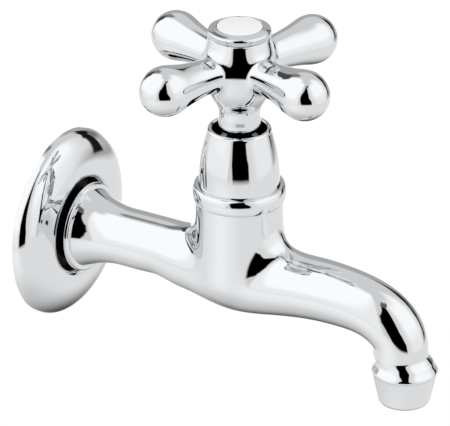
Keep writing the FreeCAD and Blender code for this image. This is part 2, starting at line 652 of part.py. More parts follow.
def washer_screw():
    """Slotted brass screw that holds the washer to the carrier."""
    head_z = SEAT_Z - VALVE_SCREW_HEAD_H
    head = turned_z([
        (0, head_z), (VALVE_SCREW_HEAD_R, head_z, SCREW_EDGE), (VALVE_SCREW_HEAD_R, SEAT_Z),
        (0, SEAT_Z)], VALVE_X)
    shank = rod(VALVE_SCREW_R, SEAT_Z, PLATE_Z + VALVE_SCREW_GRIP)
    slot = Part.makeBox(2 * VALVE_SCREW_HEAD_R, SLOT_W, SLOT_DEPTH,
                        V(VALVE_X - VALVE_SCREW_HEAD_R, -SLOT_W / 2, head_z))
    return head.fuse(shank).cut(slot)


def handle_hub():
    """Hub of the cross handle: neck, swelling middle and flat top."""
    foot = NECK_FOOT_Z
    profile = [(NECK_R + 0.05, foot + 2 * NECK_EDGE), (NECK_R - 0.05, NECK_TOP_Z)]
    for rise, spread in ((0.15, 0.135), (0.27, 0.35), (0.465, 0.69), (0.675, 0.91), (1, 1)):
        profile.append((NECK_R + spread * (HUB_R - NECK_R), NECK_TOP_Z + rise * (ARM_Z - NECK_TOP_Z)))
    for rise, spread in ((0.33, 0.2), (0.68, 0.56), (1, 1)):
        profile.append((HUB_R + spread * (HUB_TOP_R - HUB_R), ARM_Z + rise * (HUB_TOP_Z - ARM_Z)))
    rounding = quarter((NECK_R - NECK_EDGE, foot), (NECK_R, foot + NECK_EDGE))
    return turned_z([(0, foot), (NECK_R - NECK_EDGE, foot), rounding, profile, (0, HUB_TOP_Z)], VALVE_X)


def handle_arm(angle):
    """One teardrop arm, level, pointing out at an angle from +X."""
    widest = (ARM_BALL_REACH, ARM_BALL_R)
    start = HUB_R - 6.0
    arm = turned_x([
        (start, 0), (start, ARM_ROOT_R),
        [(HUB_R, ARM_ROOT_R), (ARM_WAIST_REACH, ARM_WAIST_R),
         ((ARM_WAIST_REACH + ARM_BALL_REACH) / 2, 0.5 * (ARM_WAIST_R + ARM_BALL_R) + 0.15), widest],
        quarter(widest, (ARM_TIP_REACH, 0))])
    arm.rotate(V(0, 0, 0), V(0, 0, 1), angle)
    arm.translate(V(VALVE_X, 0, ARM_Z))
    return arm


def cross_handle():
    """Hub and four arms in one casting, with the splined socket and the cap's thread."""
    arms = [handle_arm(ARM_ANGLE + 360 * i / ARM_COUNT) for i in range(ARM_COUNT)]
    solid = handle_hub().fuse(arms)
    low = ARM_Z - ARM_ROOT_R - 2
    high = ARM_Z + ARM_ROOT_R + 2
    roots = [edge for edge in solid.Edges
             if edge.BoundBox.ZMin > low and edge.BoundBox.ZMax < high
             and edge.BoundBox.ZLength > ARM_ROOT_R and edge.Length > 2 * ARM_ROOT_R
             and edge.BoundBox.Center.distanceToPoint(V(VALVE_X, 0, ARM_Z)) < HUB_R + 1]
    solid = solid.makeFillet(ARM_FILLET, roots)
    web_top = WEB_Z + WEB_T
    thread_foot = HUB_TOP_Z - CAP_THREAD_H
    hollows = [
        rod(SOCKET_MOUTH_R, NECK_FOOT_Z, SPLINE_FOOT_Z),
        star_bar(SPLINE_R + SEAT_GAP, SPLINE_DEPTH, SPLINE_TEETH, SPLINE_FOOT_Z, WEB_Z),
        rod(HANDLE_SCREW_R + HANDLE_SCREW_PLAY, WEB_Z, web_top),
        rod(WELL_R, web_top, thread_foot),
        rod(CAP_THREAD_R + SEAT_GAP, thread_foot, HUB_TOP_Z),
    ]
    return solid.cut(hollows)


def handle_screw():
    """Slotted screw that pulls the handle down on the spindle."""
    seat = WEB_Z + WEB_T + SPRING_WASHER_T
    top = seat + HANDLE_SCREW_HEAD_H
    head = turned_z([
        (0, seat), (HANDLE_SCREW_HEAD_R, seat), (HANDLE_SCREW_HEAD_R, top, SCREW_EDGE), (0, top)], VALVE_X)
    shank = rod(HANDLE_SCREW_R, seat - HANDLE_SCREW_L, seat)
    slot = Part.makeBox(2 * HANDLE_SCREW_HEAD_R, SLOT_W, HANDLE_SLOT_DEPTH,
                        V(VALVE_X - HANDLE_SCREW_HEAD_R, -SLOT_W / 2, top - HANDLE_SLOT_DEPTH))
    return head.fuse(shank).cut(slot)


def spring_washer():
    """Split washer under the handle screw's head."""
    low = WEB_Z + WEB_T
    ring = tube(SPRING_WASHER_R, HANDLE_SCREW_R + HANDLE_SCREW_PLAY, low, low + SPRING_WASHER_T)
    slit = Part.makeBox(SPRING_WASHER_R + 1, SPRING_WASHER_SLIT, SPRING_WASHER_T,
                        V(VALVE_X, -SPRING_WASHER_SLIT / 2, low))
    return ring.cut(slit)


def index_cap():
    """Screwed cap with a knurled band, a bevel and a recess for the disc."""
    band_top = HUB_TOP_Z + CAP_BAND_H
    skirt_foot = HUB_TOP_Z - CAP_SKIRT_L
    band = star_bar(CAP_R, KNURL_DEPTH, KNURL_COUNT, HUB_TOP_Z, band_top)
    crown = turned_z([
        (0, skirt_foot), (CAP_THREAD_R, skirt_foot), (CAP_THREAD_R, HUB_TOP_Z + CAP_SHOULDER),
        (CAP_R - KNURL_DEPTH, HUB_TOP_Z + CAP_SHOULDER), (CAP_R - KNURL_DEPTH, band_top),
        [(CAP_R - 0.9, band_top + 0.35), (CAP_RIM_R + 0.9, CAP_RIM_Z - 0.12), (CAP_RIM_R, CAP_RIM_Z)],
        (DISC_R + SEAT_GAP, CAP_RIM_Z), (DISC_R + SEAT_GAP, DISC_FLOOR_Z), (0, DISC_FLOOR_Z)], VALVE_X)
    hollow = rod(CAP_THREAD_R - CAP_WALL, skirt_foot, DISC_FLOOR_Z - CAP_WALL)
    return crown.fuse(band).cut(hollow)


def index_disc():
    """Plain enamelled disc, slightly crowned, set in the cap."""
    edge_z = DISC_FLOOR_Z + DISC_T
    return turned_z([
        (0, DISC_FLOOR_Z), (DISC_R, DISC_FLOOR_Z), (DISC_R, edge_z),
        [(0.7 * DISC_R, edge_z + 0.5 * DISC_CROWN), (0.35 * DISC_R, edge_z + 0.87 * DISC_CROWN),
         (0, edge_z + DISC_CROWN)]], VALVE_X)


def aerator_housing():
    """Conical nozzle end, screwed up into the spout's mouth."""
    tip = HOUSING_TIP_Z
    start = (HOUSING_TIP_R, tip + HOUSING_TIP_ROUND)
    turned_in = (HOUSING_TIP_R - HOUSING_TIP_ROUND, tip)
    return turned_z([
        (HOUSING_BORE_R, GASKET_FOOT_Z), (MOUTH_THREAD_R, GASKET_FOOT_Z), (MOUTH_THREAD_R, MOUTH_Z),
        (HOUSING_R, MOUTH_Z, HOUSING_EDGE), start, quarter(start, turned_in, False),
        (HOUSING_LIP_R, tip, HOUSING_EDGE), (HOUSING_LIP_R, LIP_TOP_Z), (HOUSING_BORE_R, LIP_TOP_Z)], OUTLET_X)


def mouth_gasket():
    """Rubber gasket between the spout's shoulder and the aerator."""
    return tube(MOUTH_THREAD_R - SEAT_GAP, MOUTH_GASKET_BORE_R, GASKET_FOOT_Z, MOUTH_SHOULDER_Z, OUTLET_X)


def aerator_cage():
    """Plastic cage with a ring of jets in its top plate."""
    low = LIP_TOP_Z + 2 * MESH_T
    plate_z = GASKET_FOOT_Z - CAGE_PLATE_T
    cage = rod(CAGE_R, low, GASKET_FOOT_Z, OUTLET_X).cut(rod(CAGE_R - CAGE_WALL, low, plate_z, OUTLET_X))
    jets = []
    for i in range(CAGE_JETS):
        angle = 2 * math.pi * i / CAGE_JETS
        place = V(OUTLET_X + CAGE_JET_REACH * math.cos(angle), CAGE_JET_REACH * math.sin(angle), plate_z)
        jets.append(Part.makeCylinder(CAGE_JET_R, CAGE_PLATE_T, place))
    return cage.cut(jets)


def aerator_mesh(low, turn):
    """Round mesh screen: one thin disc with a grid of square holes, turned about its axis."""
    disc = rod(CAGE_R, low, low + MESH_T, OUTLET_X)
    hole = MESH_PITCH - MESH_WIRE
    steps = int(CAGE_R / MESH_PITCH)
    limit = CAGE_R - MESH_WIRE - hole / 2
    holes = []
    for i in range(-steps, steps + 1):
        for j in range(-steps, steps + 1):
            x = i * MESH_PITCH
            y = j * MESH_PITCH
            if math.hypot(x, y) > limit:
                continue
            holes.append(Part.makeBox(hole, hole, MESH_T, V(OUTLET_X + x - hole / 2, y - hole / 2, low)))
    disc = disc.cut(holes)
    disc.rotate(V(OUTLET_X, 0, 0), V(0, 0, 1), turn)
    return disc


PARTS = {
    "tap_body": tap_body,
    "wall_flange": wall_flange,
    "bell_cover": bell_cover,
    "cover_ring": cover_ring,
    "headwork": headwork,
    "headwork_gasket": headwork_gasket,
    "spindle": spindle,
    "thrust_washer": thrust_washer,
    "stem_ring_lower": lambda: stem_ring(STEM_RING_LOW_Z),
    "stem_ring_upper": lambda: stem_ring(STEM_RING_HIGH_Z),
    "retaining_clip": retaining_clip,
    "valve_carrier": valve_carrier,
    "seat_washer": seat_washer,
    "washer_screw": washer_screw,
    "cross_handle": cross_handle,
    "handle_screw": handle_screw,
    "spring_washer": spring_washer,
    "index_cap": index_cap,
    "index_disc": index_disc,
    "aerator_housing": aerator_housing,
    "mouth_gasket": mouth_gasket,
    "aerator_cage": aerator_cage,
    "aerator_mesh_upper": lambda: aerator_mesh(LIP_TOP_Z + MESH_T, 45),
    "aerator_mesh_lower": lambda: aerator_mesh(LIP_TOP_Z, 0),
}


os.makedirs("parts", exist_ok=True)
for name, build in PARTS.items():
    build().exportStep("parts/" + name + ".step")
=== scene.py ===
"""Looks of a chrome wall-mounted basin tap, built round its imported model.

Sizes here are in millimetres, and MM turns them into the frame's metres. The inlet's
axis is the X axis, the valve's axis stands upright at VALVE_X, and +Z is up.
"""

import math

import bmesh
import bpy
import numpy as np
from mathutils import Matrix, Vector


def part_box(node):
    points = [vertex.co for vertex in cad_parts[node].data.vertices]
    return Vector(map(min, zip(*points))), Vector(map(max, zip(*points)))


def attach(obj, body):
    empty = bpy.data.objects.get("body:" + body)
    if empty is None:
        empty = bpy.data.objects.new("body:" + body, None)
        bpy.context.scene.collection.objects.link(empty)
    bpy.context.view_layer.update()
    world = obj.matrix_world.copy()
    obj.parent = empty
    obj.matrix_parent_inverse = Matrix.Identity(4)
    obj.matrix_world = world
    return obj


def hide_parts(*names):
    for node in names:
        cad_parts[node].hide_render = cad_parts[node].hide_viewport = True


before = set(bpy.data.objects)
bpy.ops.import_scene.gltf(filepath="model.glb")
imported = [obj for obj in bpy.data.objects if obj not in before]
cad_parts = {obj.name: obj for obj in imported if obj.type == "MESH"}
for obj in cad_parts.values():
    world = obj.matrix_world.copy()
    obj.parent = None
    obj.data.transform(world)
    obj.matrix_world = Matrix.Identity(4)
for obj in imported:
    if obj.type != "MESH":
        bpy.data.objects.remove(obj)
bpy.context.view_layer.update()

MM = 0.001


def extent(node):
    """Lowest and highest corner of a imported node, in millimetres."""
    low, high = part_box(node)
    return low / MM, high / MM


cover_low, cover_high = extent("bell_cover")
flange_high = extent("wall_flange")[1]
cap_low = extent("index_cap")[0]
disc_low, disc_high = extent("index_disc")
nozzle_low, nozzle_high = extent("aerator_housing")
handle_low, handle_high = extent("cross_handle")
body_low = extent("tap_body")[0]

# Main places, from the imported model
VALVE_X = (cover_low.x + cover_high.x) / 2
OUTLET_X = (nozzle_low.x + nozzle_high.x) / 2

# Wall flange
FLANGE_R = flange_high.z
FLANGE_DEPTH = flange_high.x
FLANGE_EDGE = 1.5
FLANGE_BREAK = 0.3
FLANGE_CREST_R = 19.6
FLANGE_HOLE_R = 17.25
FLANGE_LIP = 2.4
FLANGE_SHEET = 1.1
FLANGE_WELL_X = 3.6
FLANGE_FLOOR_HOLE_R = 11.4
WELL_SHADE_DEPTH = 1.5           # depth of the well that is painted near black as shade

# Inlet tail, collar and trumpet
THREAD_R = 10.478
THREAD_DEPTH = 1.16
THREAD_PITCH = 1.814
THREAD_LAND = 1.0
THREAD_CREST_HALF = 0.16
THREAD_ROOT_HALF = 0.47 * THREAD_PITCH
THREAD_RUNOUT = 0.6
THREAD_SINK = 0.1          # how deep the ridge's root lies in the core
THREAD_STEPS = 48          # points in each turn of its ridge
TAIL_X = body_low.x
TAIL_CHAMFER = 0.8
BORE_CHAMFER = 0.3
INLET_BORE_R = 6.5
INLET_BORE_END = 40.0
SHANK_R = 13.6
COLLAR_R = 16.5
COLLAR_X = 9.9
COLLAR_FRONT_X = 12.3
COLLAR_EDGE = 0.7
COLLAR_STEP = 2.0
TUBE_R = 10.7
TRUMPET_L = 15.9
TRUMPET_POWER = 2.06

# Run of the casting: x, z and radius along its line
RUN_START_X = 30.0
SPOUT_END_Z = -17.0
SPOUT_END_R = 9.8
SPOUT_SHIFT = 1.7         # how far its end's middle lies from the nozzle's, towards the wall
SHIFT_END_Z = -20.2       # height where the flare below it is back on the nozzle's axis
RUN_STATIONS = (
    (RUN_START_X, 0.0, TUBE_R),
    (37.0, 0.0, TUBE_R),
    (44.0, 0.0, TUBE_R),
    (VALVE_X - 22.5, -0.85, 11.6),
    (VALVE_X - 14.0, -1.25, 12.55),
    (VALVE_X, -2.6, 13.5),
    (VALVE_X + 15.0, -2.1, 12.25),
    (VALVE_X + 30.6, -0.7, 11.4),
    (VALVE_X + 45.6, -1.0, 10.8),
    (OUTLET_X - 12.5, -2.95, 10.4),
    (OUTLET_X - 4.5, -8.15, 10.05),
    (OUTLET_X - 1.75, -13.9, 9.7),
    (OUTLET_X - SPOUT_SHIFT, SPOUT_END_Z, SPOUT_END_R),
)
VALVE_STATION = 5         # station of the run that lies on the valve's axis
RUN_STEP = 6.0            # spacing of the cage's rings along the run
RUN_SIDES = 12            # points in each of these rings
CAGE_HALF = 13.5          # half the length of the cage's opening under the barrel

# Barrel and bead
BARREL_R = 15.75
BARREL_ROUND_Z = 0.4      # below this its end is a ball, inside the run
BARREL_TOP_Z = 27.1
BARREL_RINGS = (15.5, 19.5, 23.5, BARREL_TOP_Z)
JUNCTION_BLEND = 15.5     # about 1.75 times the radius of the fillet where they meet square
JUNCTION_EASE = 0.88      # power by which it shrinks where they meet at a flatter angle
BEAD_R = 16.8
BEAD_Z = 30.2
BEAD_HALF = 3.1
SPIGOT_R = 12.4
SPIGOT_TOP_Z = 34.0
HEAD_BORE_R = 10.47
CHAMBER_R = 9.3
CHAMBER_TOP_Z = 14.6
CHAMBER_FLOOR_Z = -0.5

# Spout's mouth and nozzle
RING_R = 11.8
RING_Z = -23.2
RING_HALF = 0.7
RING_ROUND = 0.2
FLARE = ((0.08, 0.33), (0.4, 0.7))  # shares of its widening and of its drop above the ring
MOUTH_Z = -23.9
MOUTH_BORE_R = 9.05
MOUTH_SHOULDER_Z = -19.1
SPOUT_BORE_R = 7.5
SPOUT_BORE_TOP_Z = -13.5
NOZZLE_R = 11.55
NOZZLE_TIP_R = 9.35
NOZZLE_TIP_Z = nozzle_low.z
NOZZLE_TOP_Z = nozzle_high.z
NOZZLE_TIP_ROUND = 1.7
NOZZLE_THREAD_R = 9.0
NOZZLE_BORE_R = 7.2
NOZZLE_LIP_R = 6.4
NOZZLE_LIP_T = 2.4
NOZZLE_LIP_ROUND = 0.3
NOZZLE_SHOULDER = ((0.3, 0.0), (0.05, 0.15))  # in from its side, and under the spout's mouth

# Bell cover
COVER_BASE_R = (cover_high.x - cover_low.x) / 2
COVER_SEAT_Z = cover_low.z
COVER_TOP_Z = cover_high.z
COVER_MID_R = 13.95
COVER_MID_Z = 43.0
COVER_TOP_R = 11.45
COVER_HOLE_R = 9.7
COVER_BORE_R = 12.6
COVER_BORE_TOP_Z = 45.5
COVER_ROLL = 1.0
COVER_GAP = 0.05          # room round its base in the bead's groove
COVER_FOOT_ROUND = 0.2
COVER_FOOT_H = 3.5        # height over which its side stays nearly upright
COVER_FOOT_IN = 0.05      # and how far it draws in there

# Cross handle
ARM_Z = 79.1
ARM_ANGLE = -18.5
ARM_COUNT = 4
ARM_BALL_REACH = 34.0
ARM_BALL_R = 9.05
ARM_TIP_REACH = 43.55
ARM_ROOT_R = 6.0
ARM_PROFILE = (
    (0.0, ARM_ROOT_R), (13.1, ARM_ROOT_R), (21.9, 6.87), (27.95, 8.0), (ARM_BALL_REACH, ARM_BALL_R))
ARM_RINGS = (15.5, 19.0, 23.0, 27.0, 31.0, 35.0, 38.5, 41.5)
ARM_SIDES = 8
ARM_BLEND = 4.0
NECK_DIP = 1.3            # how far the neck's foot reaches into the cover
NECK_FOOT_Z = handle_low.z - NECK_DIP
NECK_R = 7.55
NECK_EDGE = 1.3
NECK_SIDE_Z = NECK_FOOT_Z + NECK_EDGE
NECK_WAIST = 0.05         # slight swell of its foot and waist under the flare
NECK_TOP_Z = 61.6
HUB_R = 13.1
HUB_TOP_R = 11.15
HUB_TOP_Z = handle_high.z
HUB_EDGE = 0.7            # rounding of its top edge
HUB_SIDE_Z = HUB_TOP_Z - HUB_EDGE
# Shares of the rise and of the spread, from the neck to the arms, and from there to the top
HUB_FLARE = ((0.15, 0.135), (0.27, 0.35), (0.465, 0.69), (0.675, 0.91), (1, 1))
HUB_TAPER = ((0.33, 0.2), (0.68, 0.56), (1, 1))
HUB_RINGS = (60.0, 63.5, 67.0, 70.0)  # heights of the cage's rings under the arms
HUB_TOP_RING_Z = 88.0
HUB_SIDES = 16
SOCKET_R = 5.2
SPLINE_R = 4.05
SPLINE_FOOT_Z = 58.5
WEB_Z = 70.5
WEB_TOP_Z = 74.5
WEB_HOLE_R = 2.2
WEB_HOLE_EDGE = 0.3
WELL_R = 7.0
CAP_THREAD_R = 9.2
CAP_THREAD_FOOT_Z = 85.6

# Index cap and disc
CAP_R = 11.2
CAP_BAND_H = 2.4
CAP_RIM_Z = 93.9
CAP_RIM_H = 0.85          # plain rounded rim above the ribs
CAP_ROUND = 0.5
CAP_SHOULDER = 0.2        # gap under the ribbed band
CAP_RIM_R = 8.5
CAP_SKIRT_Z = cap_low.z
CAP_SKIRT_GAP = 0.1
CAP_WALL = 1.3
CAP_EDGE = 0.1            # softening of its edges
CAP_RIM_STEP = 0.02       # step up from the ribs to the rim
CAP_RIM_SIDE = 0.15       # height of the rim's plain side
CAP_BEVEL_RISE = 0.2
CAP_BEVEL_MID = (0.9, 0.24)  # out from the rim of the recess, and under the cap's top
CAP_TOP_DROP = 0.05
CAP_RECESS_EDGE = 0.08
KNURL_COUNT = 100
KNURL_DEPTH = 0.25
KNURL_FULLNESS = 0.8      # share of the room along the band that the ribs fill
KNURL_SIDES = 12
KNURL_LIFT = 0.02         # of their feet off the step under the band
KNURL_SINK = 0.01         # of their tops in the rim
DISC_R = (disc_high.x - disc_low.x) / 2
DISC_FLOOR_Z = disc_low.z
DISC_TOP_Z = disc_high.z
DISC_CROWN = 0.35
DISC_EDGE = 0.25
DISC_GAP = 0.2
DISC_SIDE_IN = 0.05

# Mesh fineness
TURN_STEPS = 192          # facets round a turned piece
OUTLINE_STEPS = 24        # points along a curve that is drawn by a rule
RING_REACH = 1.0          # how near to its place an open edge's vertices are looked for
RUN_TRIES = 120           # places along the run where the nearest one to a point is looked for
RUN_PASSES = 4            # and times that the nearest of them is then bettered
PROFILE_STEPS = 400       # points along the outlines of the hub and the arms
CAGE_LEVELS = 3           # times that each face of a cage is divided in four
SHARP_TURN = 32           # degrees between faces past which an edge stays sharp
SHARP_RIB = 50            # and on the ribs and the thread


class Curve:
    """Smooth line through points, followed by the distance over its first two numbers."""

    def __init__(self, points, start=None, end=None):
        self.points = np.array(points, float)
        steps = np.linalg.norm(np.diff(self.points[:, :2], axis=0), axis=1)
        self.at = np.concatenate([[0.0], np.cumsum(steps)])
        self.length = self.at[-1]
        count = len(points)
        rises = np.diff(self.points, axis=0) / steps[:, None]
        left = np.eye(count)
        right = np.zeros_like(self.points)
        for i in range(1, count - 1):
            left[i, i - 1:i + 2] = steps[i - 1], 2 * (steps[i - 1] + steps[i]), steps[i]
            right[i] = 6 * (rises[i] - rises[i - 1])
        if start is not None:
            left[0, :2] = 2 * steps[0], steps[0]
            right[0] = 6 * (rises[0] - np.array(start, float))
        if end is not None:
            left[-1, -2:] = steps[-1], 2 * steps[-1]
            right[-1] = 6 * (np.array(end, float) - rises[-1])
        self.bends = np.linalg.solve(left, right)

    def follow(self, at, order=0):
        """Point, slope or bend at distances along the line."""
        at = np.clip(np.atleast_1d(at), 0, self.length)
        i = np.clip(np.searchsorted(self.at, at) - 1, 0, len(self.at) - 2)
        step = (self.at[i + 1] - self.at[i])[:, None]
        b = (at - self.at[i])[:, None] / step
        a = 1 - b
        p, q = self.points[i], self.points[i + 1]
        m, n = self.bends[i], self.bends[i + 1]
        if order == 0:
            return a * p + b * q + ((a**3 - a) * m + (b**3 - b) * n) * step**2 / 6
        if order == 1:
            return (q - p) / step + ((3 * b**2 - 1) * n - (3 * a**2 - 1) * m) * step / 6
        return a * m + b * n


def smooth(points, steps, start=None, end=None):
    """Points of a smooth line through a few points, ends included."""
    line = Curve(points, start, end)
    return [tuple(p) for p in line.follow(np.linspace(0, line.length, steps + 1))]


def quarter(start, end, square_end=True, steps=12):
    """Quarter ellipse from start to end. It ends square to the first axis, or, with
    square_end false, starts square to it and ends along it."""
    (a0, b0), (a1, b1) = start, end
    points = []
    for i in range(steps + 1):
        turn = math.pi / 2 * i / steps
        sine = math.sin(turn)
        cosine = math.cos(turn)
        if square_end:
            points.append((a0 + (a1 - a0) * sine, b1 + (b0 - b1) * cosine))
        else:
            points.append((a1 + (a0 - a1) * cosine, b0 + (b1 - b0) * sine))
    return points


def eased(corners, radius, steps=4):
    """The same corners with each turn between straight runs rounded by an arc."""
    points = [corners[0]]
    for before, corner, after in zip(corners, corners[1:], corners[2:]):
        spot = Vector(corner)
        back = (Vector(before) - spot).normalized()
        ahead = (Vector(after) - spot).normalized()
        half = back.angle(ahead) / 2
        run = radius / math.tan(half)
        middle = spot + (back + ahead).normalized() * radius / math.sin(half)
        enter = spot + back * run - middle
        leave = spot + ahead * run - middle
        for i in range(steps + 1):
            share = i / steps
            points.append(tuple(middle + enter.slerp(leave, share).normalized() * radius))
    points.append(corners[-1])
    return points


def linked(name, data):
    """A new object of some data, in the scene."""
    piece = bpy.data.objects.new(name, data)
    bpy.context.collection.objects.link(piece)
    return piece


def evaluated(piece):
    """A new mesh of a piece with its modifiers worked in."""
    graph = bpy.context.evaluated_depsgraph_get()
    return bpy.data.meshes.new_from_object(piece.evaluated_get(graph))


def mesh_object(name, bm):
    """A smooth-shaded object of a finished mesh, creased where faces turn sharply."""
    bmesh.ops.recalc_face_normals(bm, faces=bm.faces)
    mesh = bpy.data.meshes.new(name)
    bm.to_mesh(mesh)
    bm.free()
    mesh.shade_smooth()
    mesh.set_sharp_from_angle(angle=math.radians(SHARP_TURN))
    return linked(name, mesh)


def place(radius, along, turn, axis, centre_x):
    """Point in metres at a radius and a turn about the X axis or an upright axis."""
    across = radius * math.cos(turn)
    aside = radius * math.sin(turn)
    if axis == "X":
        return Vector((along, across, aside)) * MM
    return Vector((centre_x + across, aside, along)) * MM


def turn_of(spot, axis, centre_x=0.0):
    """Turn of a point in millimetres about the X axis or an upright axis."""
    if axis == "X":
        return math.atan2(spot.z, spot.y)
    return math.atan2(spot.y, spot.x - centre_x)


def ring(bm, radius, along, turns, axis, centre_x):
    """Ring of vertices at some turns, or a single one on the axis."""
    if radius < 1e-6:
        turns = [0.0]
    return [bm.verts.new(place(radius, along, turn, axis, centre_x)) for turn in turns]


def skin(bm, first, second):
    """Faces between two rings, either of which may be a single vertex."""
    count = max(len(first), len(second))
    for i in range(count):
        j = (i + 1) % count
        corners = [first[i % len(first)], first[j % len(first)]]
        corners += [second[j % len(second)], second[i % len(second)]]
        bm.faces.new(list(dict.fromkeys(corners)))


def turned(name, outline, axis="Z", centre_x=0.0):
    """Closed turned piece from an outline of (radius, distance along the axis)."""
    bm = bmesh.new()
    turns = [2 * math.pi * i / TURN_STEPS for i in range(TURN_STEPS)]
    rings = [ring(bm, radius, along, turns, axis, centre_x) for radius, along in outline]
    for first, second in zip(rings, rings[1:]):
        skin(bm, first, second)
    if len(rings[0]) > 1:
        skin(bm, rings[-1], rings[0])
    return mesh_object(name, bm)


def grow(bm, loop, outline, axis, centre_x=0.0):
    """Carry a ring of vertices on along a turned outline of (radius, distance along), each
    with a shift of its middle along X where it has one."""
    middle_x = sum(vert.co.x for vert in loop) / len(loop) / MM
    turns = [turn_of(vert.co / MM, axis, middle_x) for vert in loop]
    last = loop
    for radius, along, *shift in outline:
        ahead = ring(bm, radius, along, turns, axis, centre_x + sum(shift))
        skin(bm, last, ahead)
        last = ahead
    return last


def open_ring(bm, near, axis, centre_x=0.0):
    """Boundary vertices close to a distance along an axis, in order round it."""
    loop = []
    for vert in bm.verts:
        spot = vert.co / MM
        along = spot.x if axis == "X" else spot.z
        if vert.is_boundary and abs(along - near) < RING_REACH:
            loop.append((turn_of(spot, axis, centre_x), vert))
    loop.sort(key=lambda item: item[0])
    return [vert for _, vert in loop]


def settle(loop, radius, along, axis, centre_x=0.0):
    """Put a boundary ring exactly on its circle."""
    for vert in loop:
        vert.co = place(radius, along, turn_of(vert.co / MM, axis, centre_x), axis, centre_x)


def grid_faces(rows, sides, is_open):
    """Quads between rings of a cage, but for those that a test leaves open."""
    faces = []
    for k in range(rows - 1):
        for j in range(sides):
            if not is_open(k, j):
                corners = [(k, j), (k, j + 1), (k + 1, j + 1), (k + 1, j)]
                faces.append([row * sides + side % sides for row, side in corners])
    return faces


def tube_faces(last, ahead):
    """Quads between two closed rings of point numbers."""
    count = len(last)
    faces = []
    for i in range(count):
        j = (i + 1) % count
        faces.append([last[i], last[j], ahead[j], ahead[i]])
    return faces


def divided(points, faces):
    """A cage of quads, divided smoothly CAGE_LEVELS times, as a new bmesh."""
    mesh = bpy.data.meshes.new("cage")
    mesh.from_pydata([Vector(p) * MM for p in points], [], faces)
    piece = linked("cage", mesh)
    divide = piece.modifiers.new("divide", "SUBSURF")
    divide.levels = CAGE_LEVELS
    divide.render_levels = CAGE_LEVELS
    fine = evaluated(piece)
    bm = bmesh.new()
    bm.from_mesh(fine)
    loose = [vert for vert in bm.verts if not vert.link_faces]
    bmesh.ops.delete(bm, geom=loose, context="VERTS")
    bpy.data.objects.remove(piece)
    bpy.data.meshes.remove(fine)
    return bm


def draw_to(bm, field, passes=8, reach=0.02):
    """Move each vertex along the slope of a distance field until it lies on its surface."""
    spots = np.array([vert.co for vert in bm.verts]) / MM
    for _ in range(passes):
        slope = np.zeros_like(spots)
        for k in range(3):
            nudge = np.zeros(3)
            nudge[k] = reach
            slope[:, k] = (field(spots + nudge) - field(spots - nudge)) / (2 * reach)
        gap = field(spots)
        spots -= gap[:, None] * slope / np.maximum((slope**2).sum(1), 0.2)[:, None]
    for vert, spot in zip(bm.verts, spots):
        vert.co = Vector(spot) * MM


def blended(a, b, width):
    """Two distance fields joined, with the corner between them filled smoothly."""
    width = np.maximum(width, 1e-3)
    near = np.maximum(width - np.abs(a - b), 0) / width
    return np.minimum(a, b) - near**3 * width / 6


RUN = Curve(RUN_STATIONS, start=(1, 0, 0), end=(0, -1, 0))


def run_field(spots):
    """Distance from the run's surface, and the way out of it."""
    flat = spots[:, [0, 2]]
    tries = np.linspace(0, RUN.length, RUN_TRIES)
    gaps = ((flat[:, None] - RUN.follow(tries)[None, :, :2]) ** 2).sum(2)
    at = tries[gaps.argmin(1)]
    for _ in range(RUN_PASSES):
        away = flat - RUN.follow(at)[:, :2]
        slope = RUN.follow(at, 1)[:, :2]
        rate = (slope**2).sum(1) - (away * RUN.follow(at, 2)[:, :2]).sum(1)
        at = np.clip(at + (away * slope).sum(1) / np.maximum(rate, 0.1), 0, RUN.length)
    spot = RUN.follow(at)
    out = np.stack([flat[:, 0] - spot[:, 0], spots[:, 1], flat[:, 1] - spot[:, 1]], 1)
    size = np.linalg.norm(out, axis=1)
    return size - spot[:, 2], out / np.maximum(size, 1e-6)[:, None]


def barrel_field(spots):
    """Distance from the upright barrel, whose lower end is a ball, and the way out of it."""
    up = np.maximum(spots[:, 2], BARREL_ROUND_Z)
    out = np.stack([spots[:, 0] - VALVE_X, spots[:, 1], spots[:, 2] - up], 1)
    size = np.linalg.norm(out, axis=1)
    return size - BARREL_R, out / np.maximum(size, 1e-6)[:, None]


def body_field(spots):
    """The run and the barrel, blended where they meet at an angle."""
    run, run_out = run_field(spots)
    barrel, barrel_out = barrel_field(spots)
    facing = np.clip((run_out * barrel_out).sum(1), -1, 1)
    return blended(run, barrel, JUNCTION_BLEND * (1 - facing) ** JUNCTION_EASE)


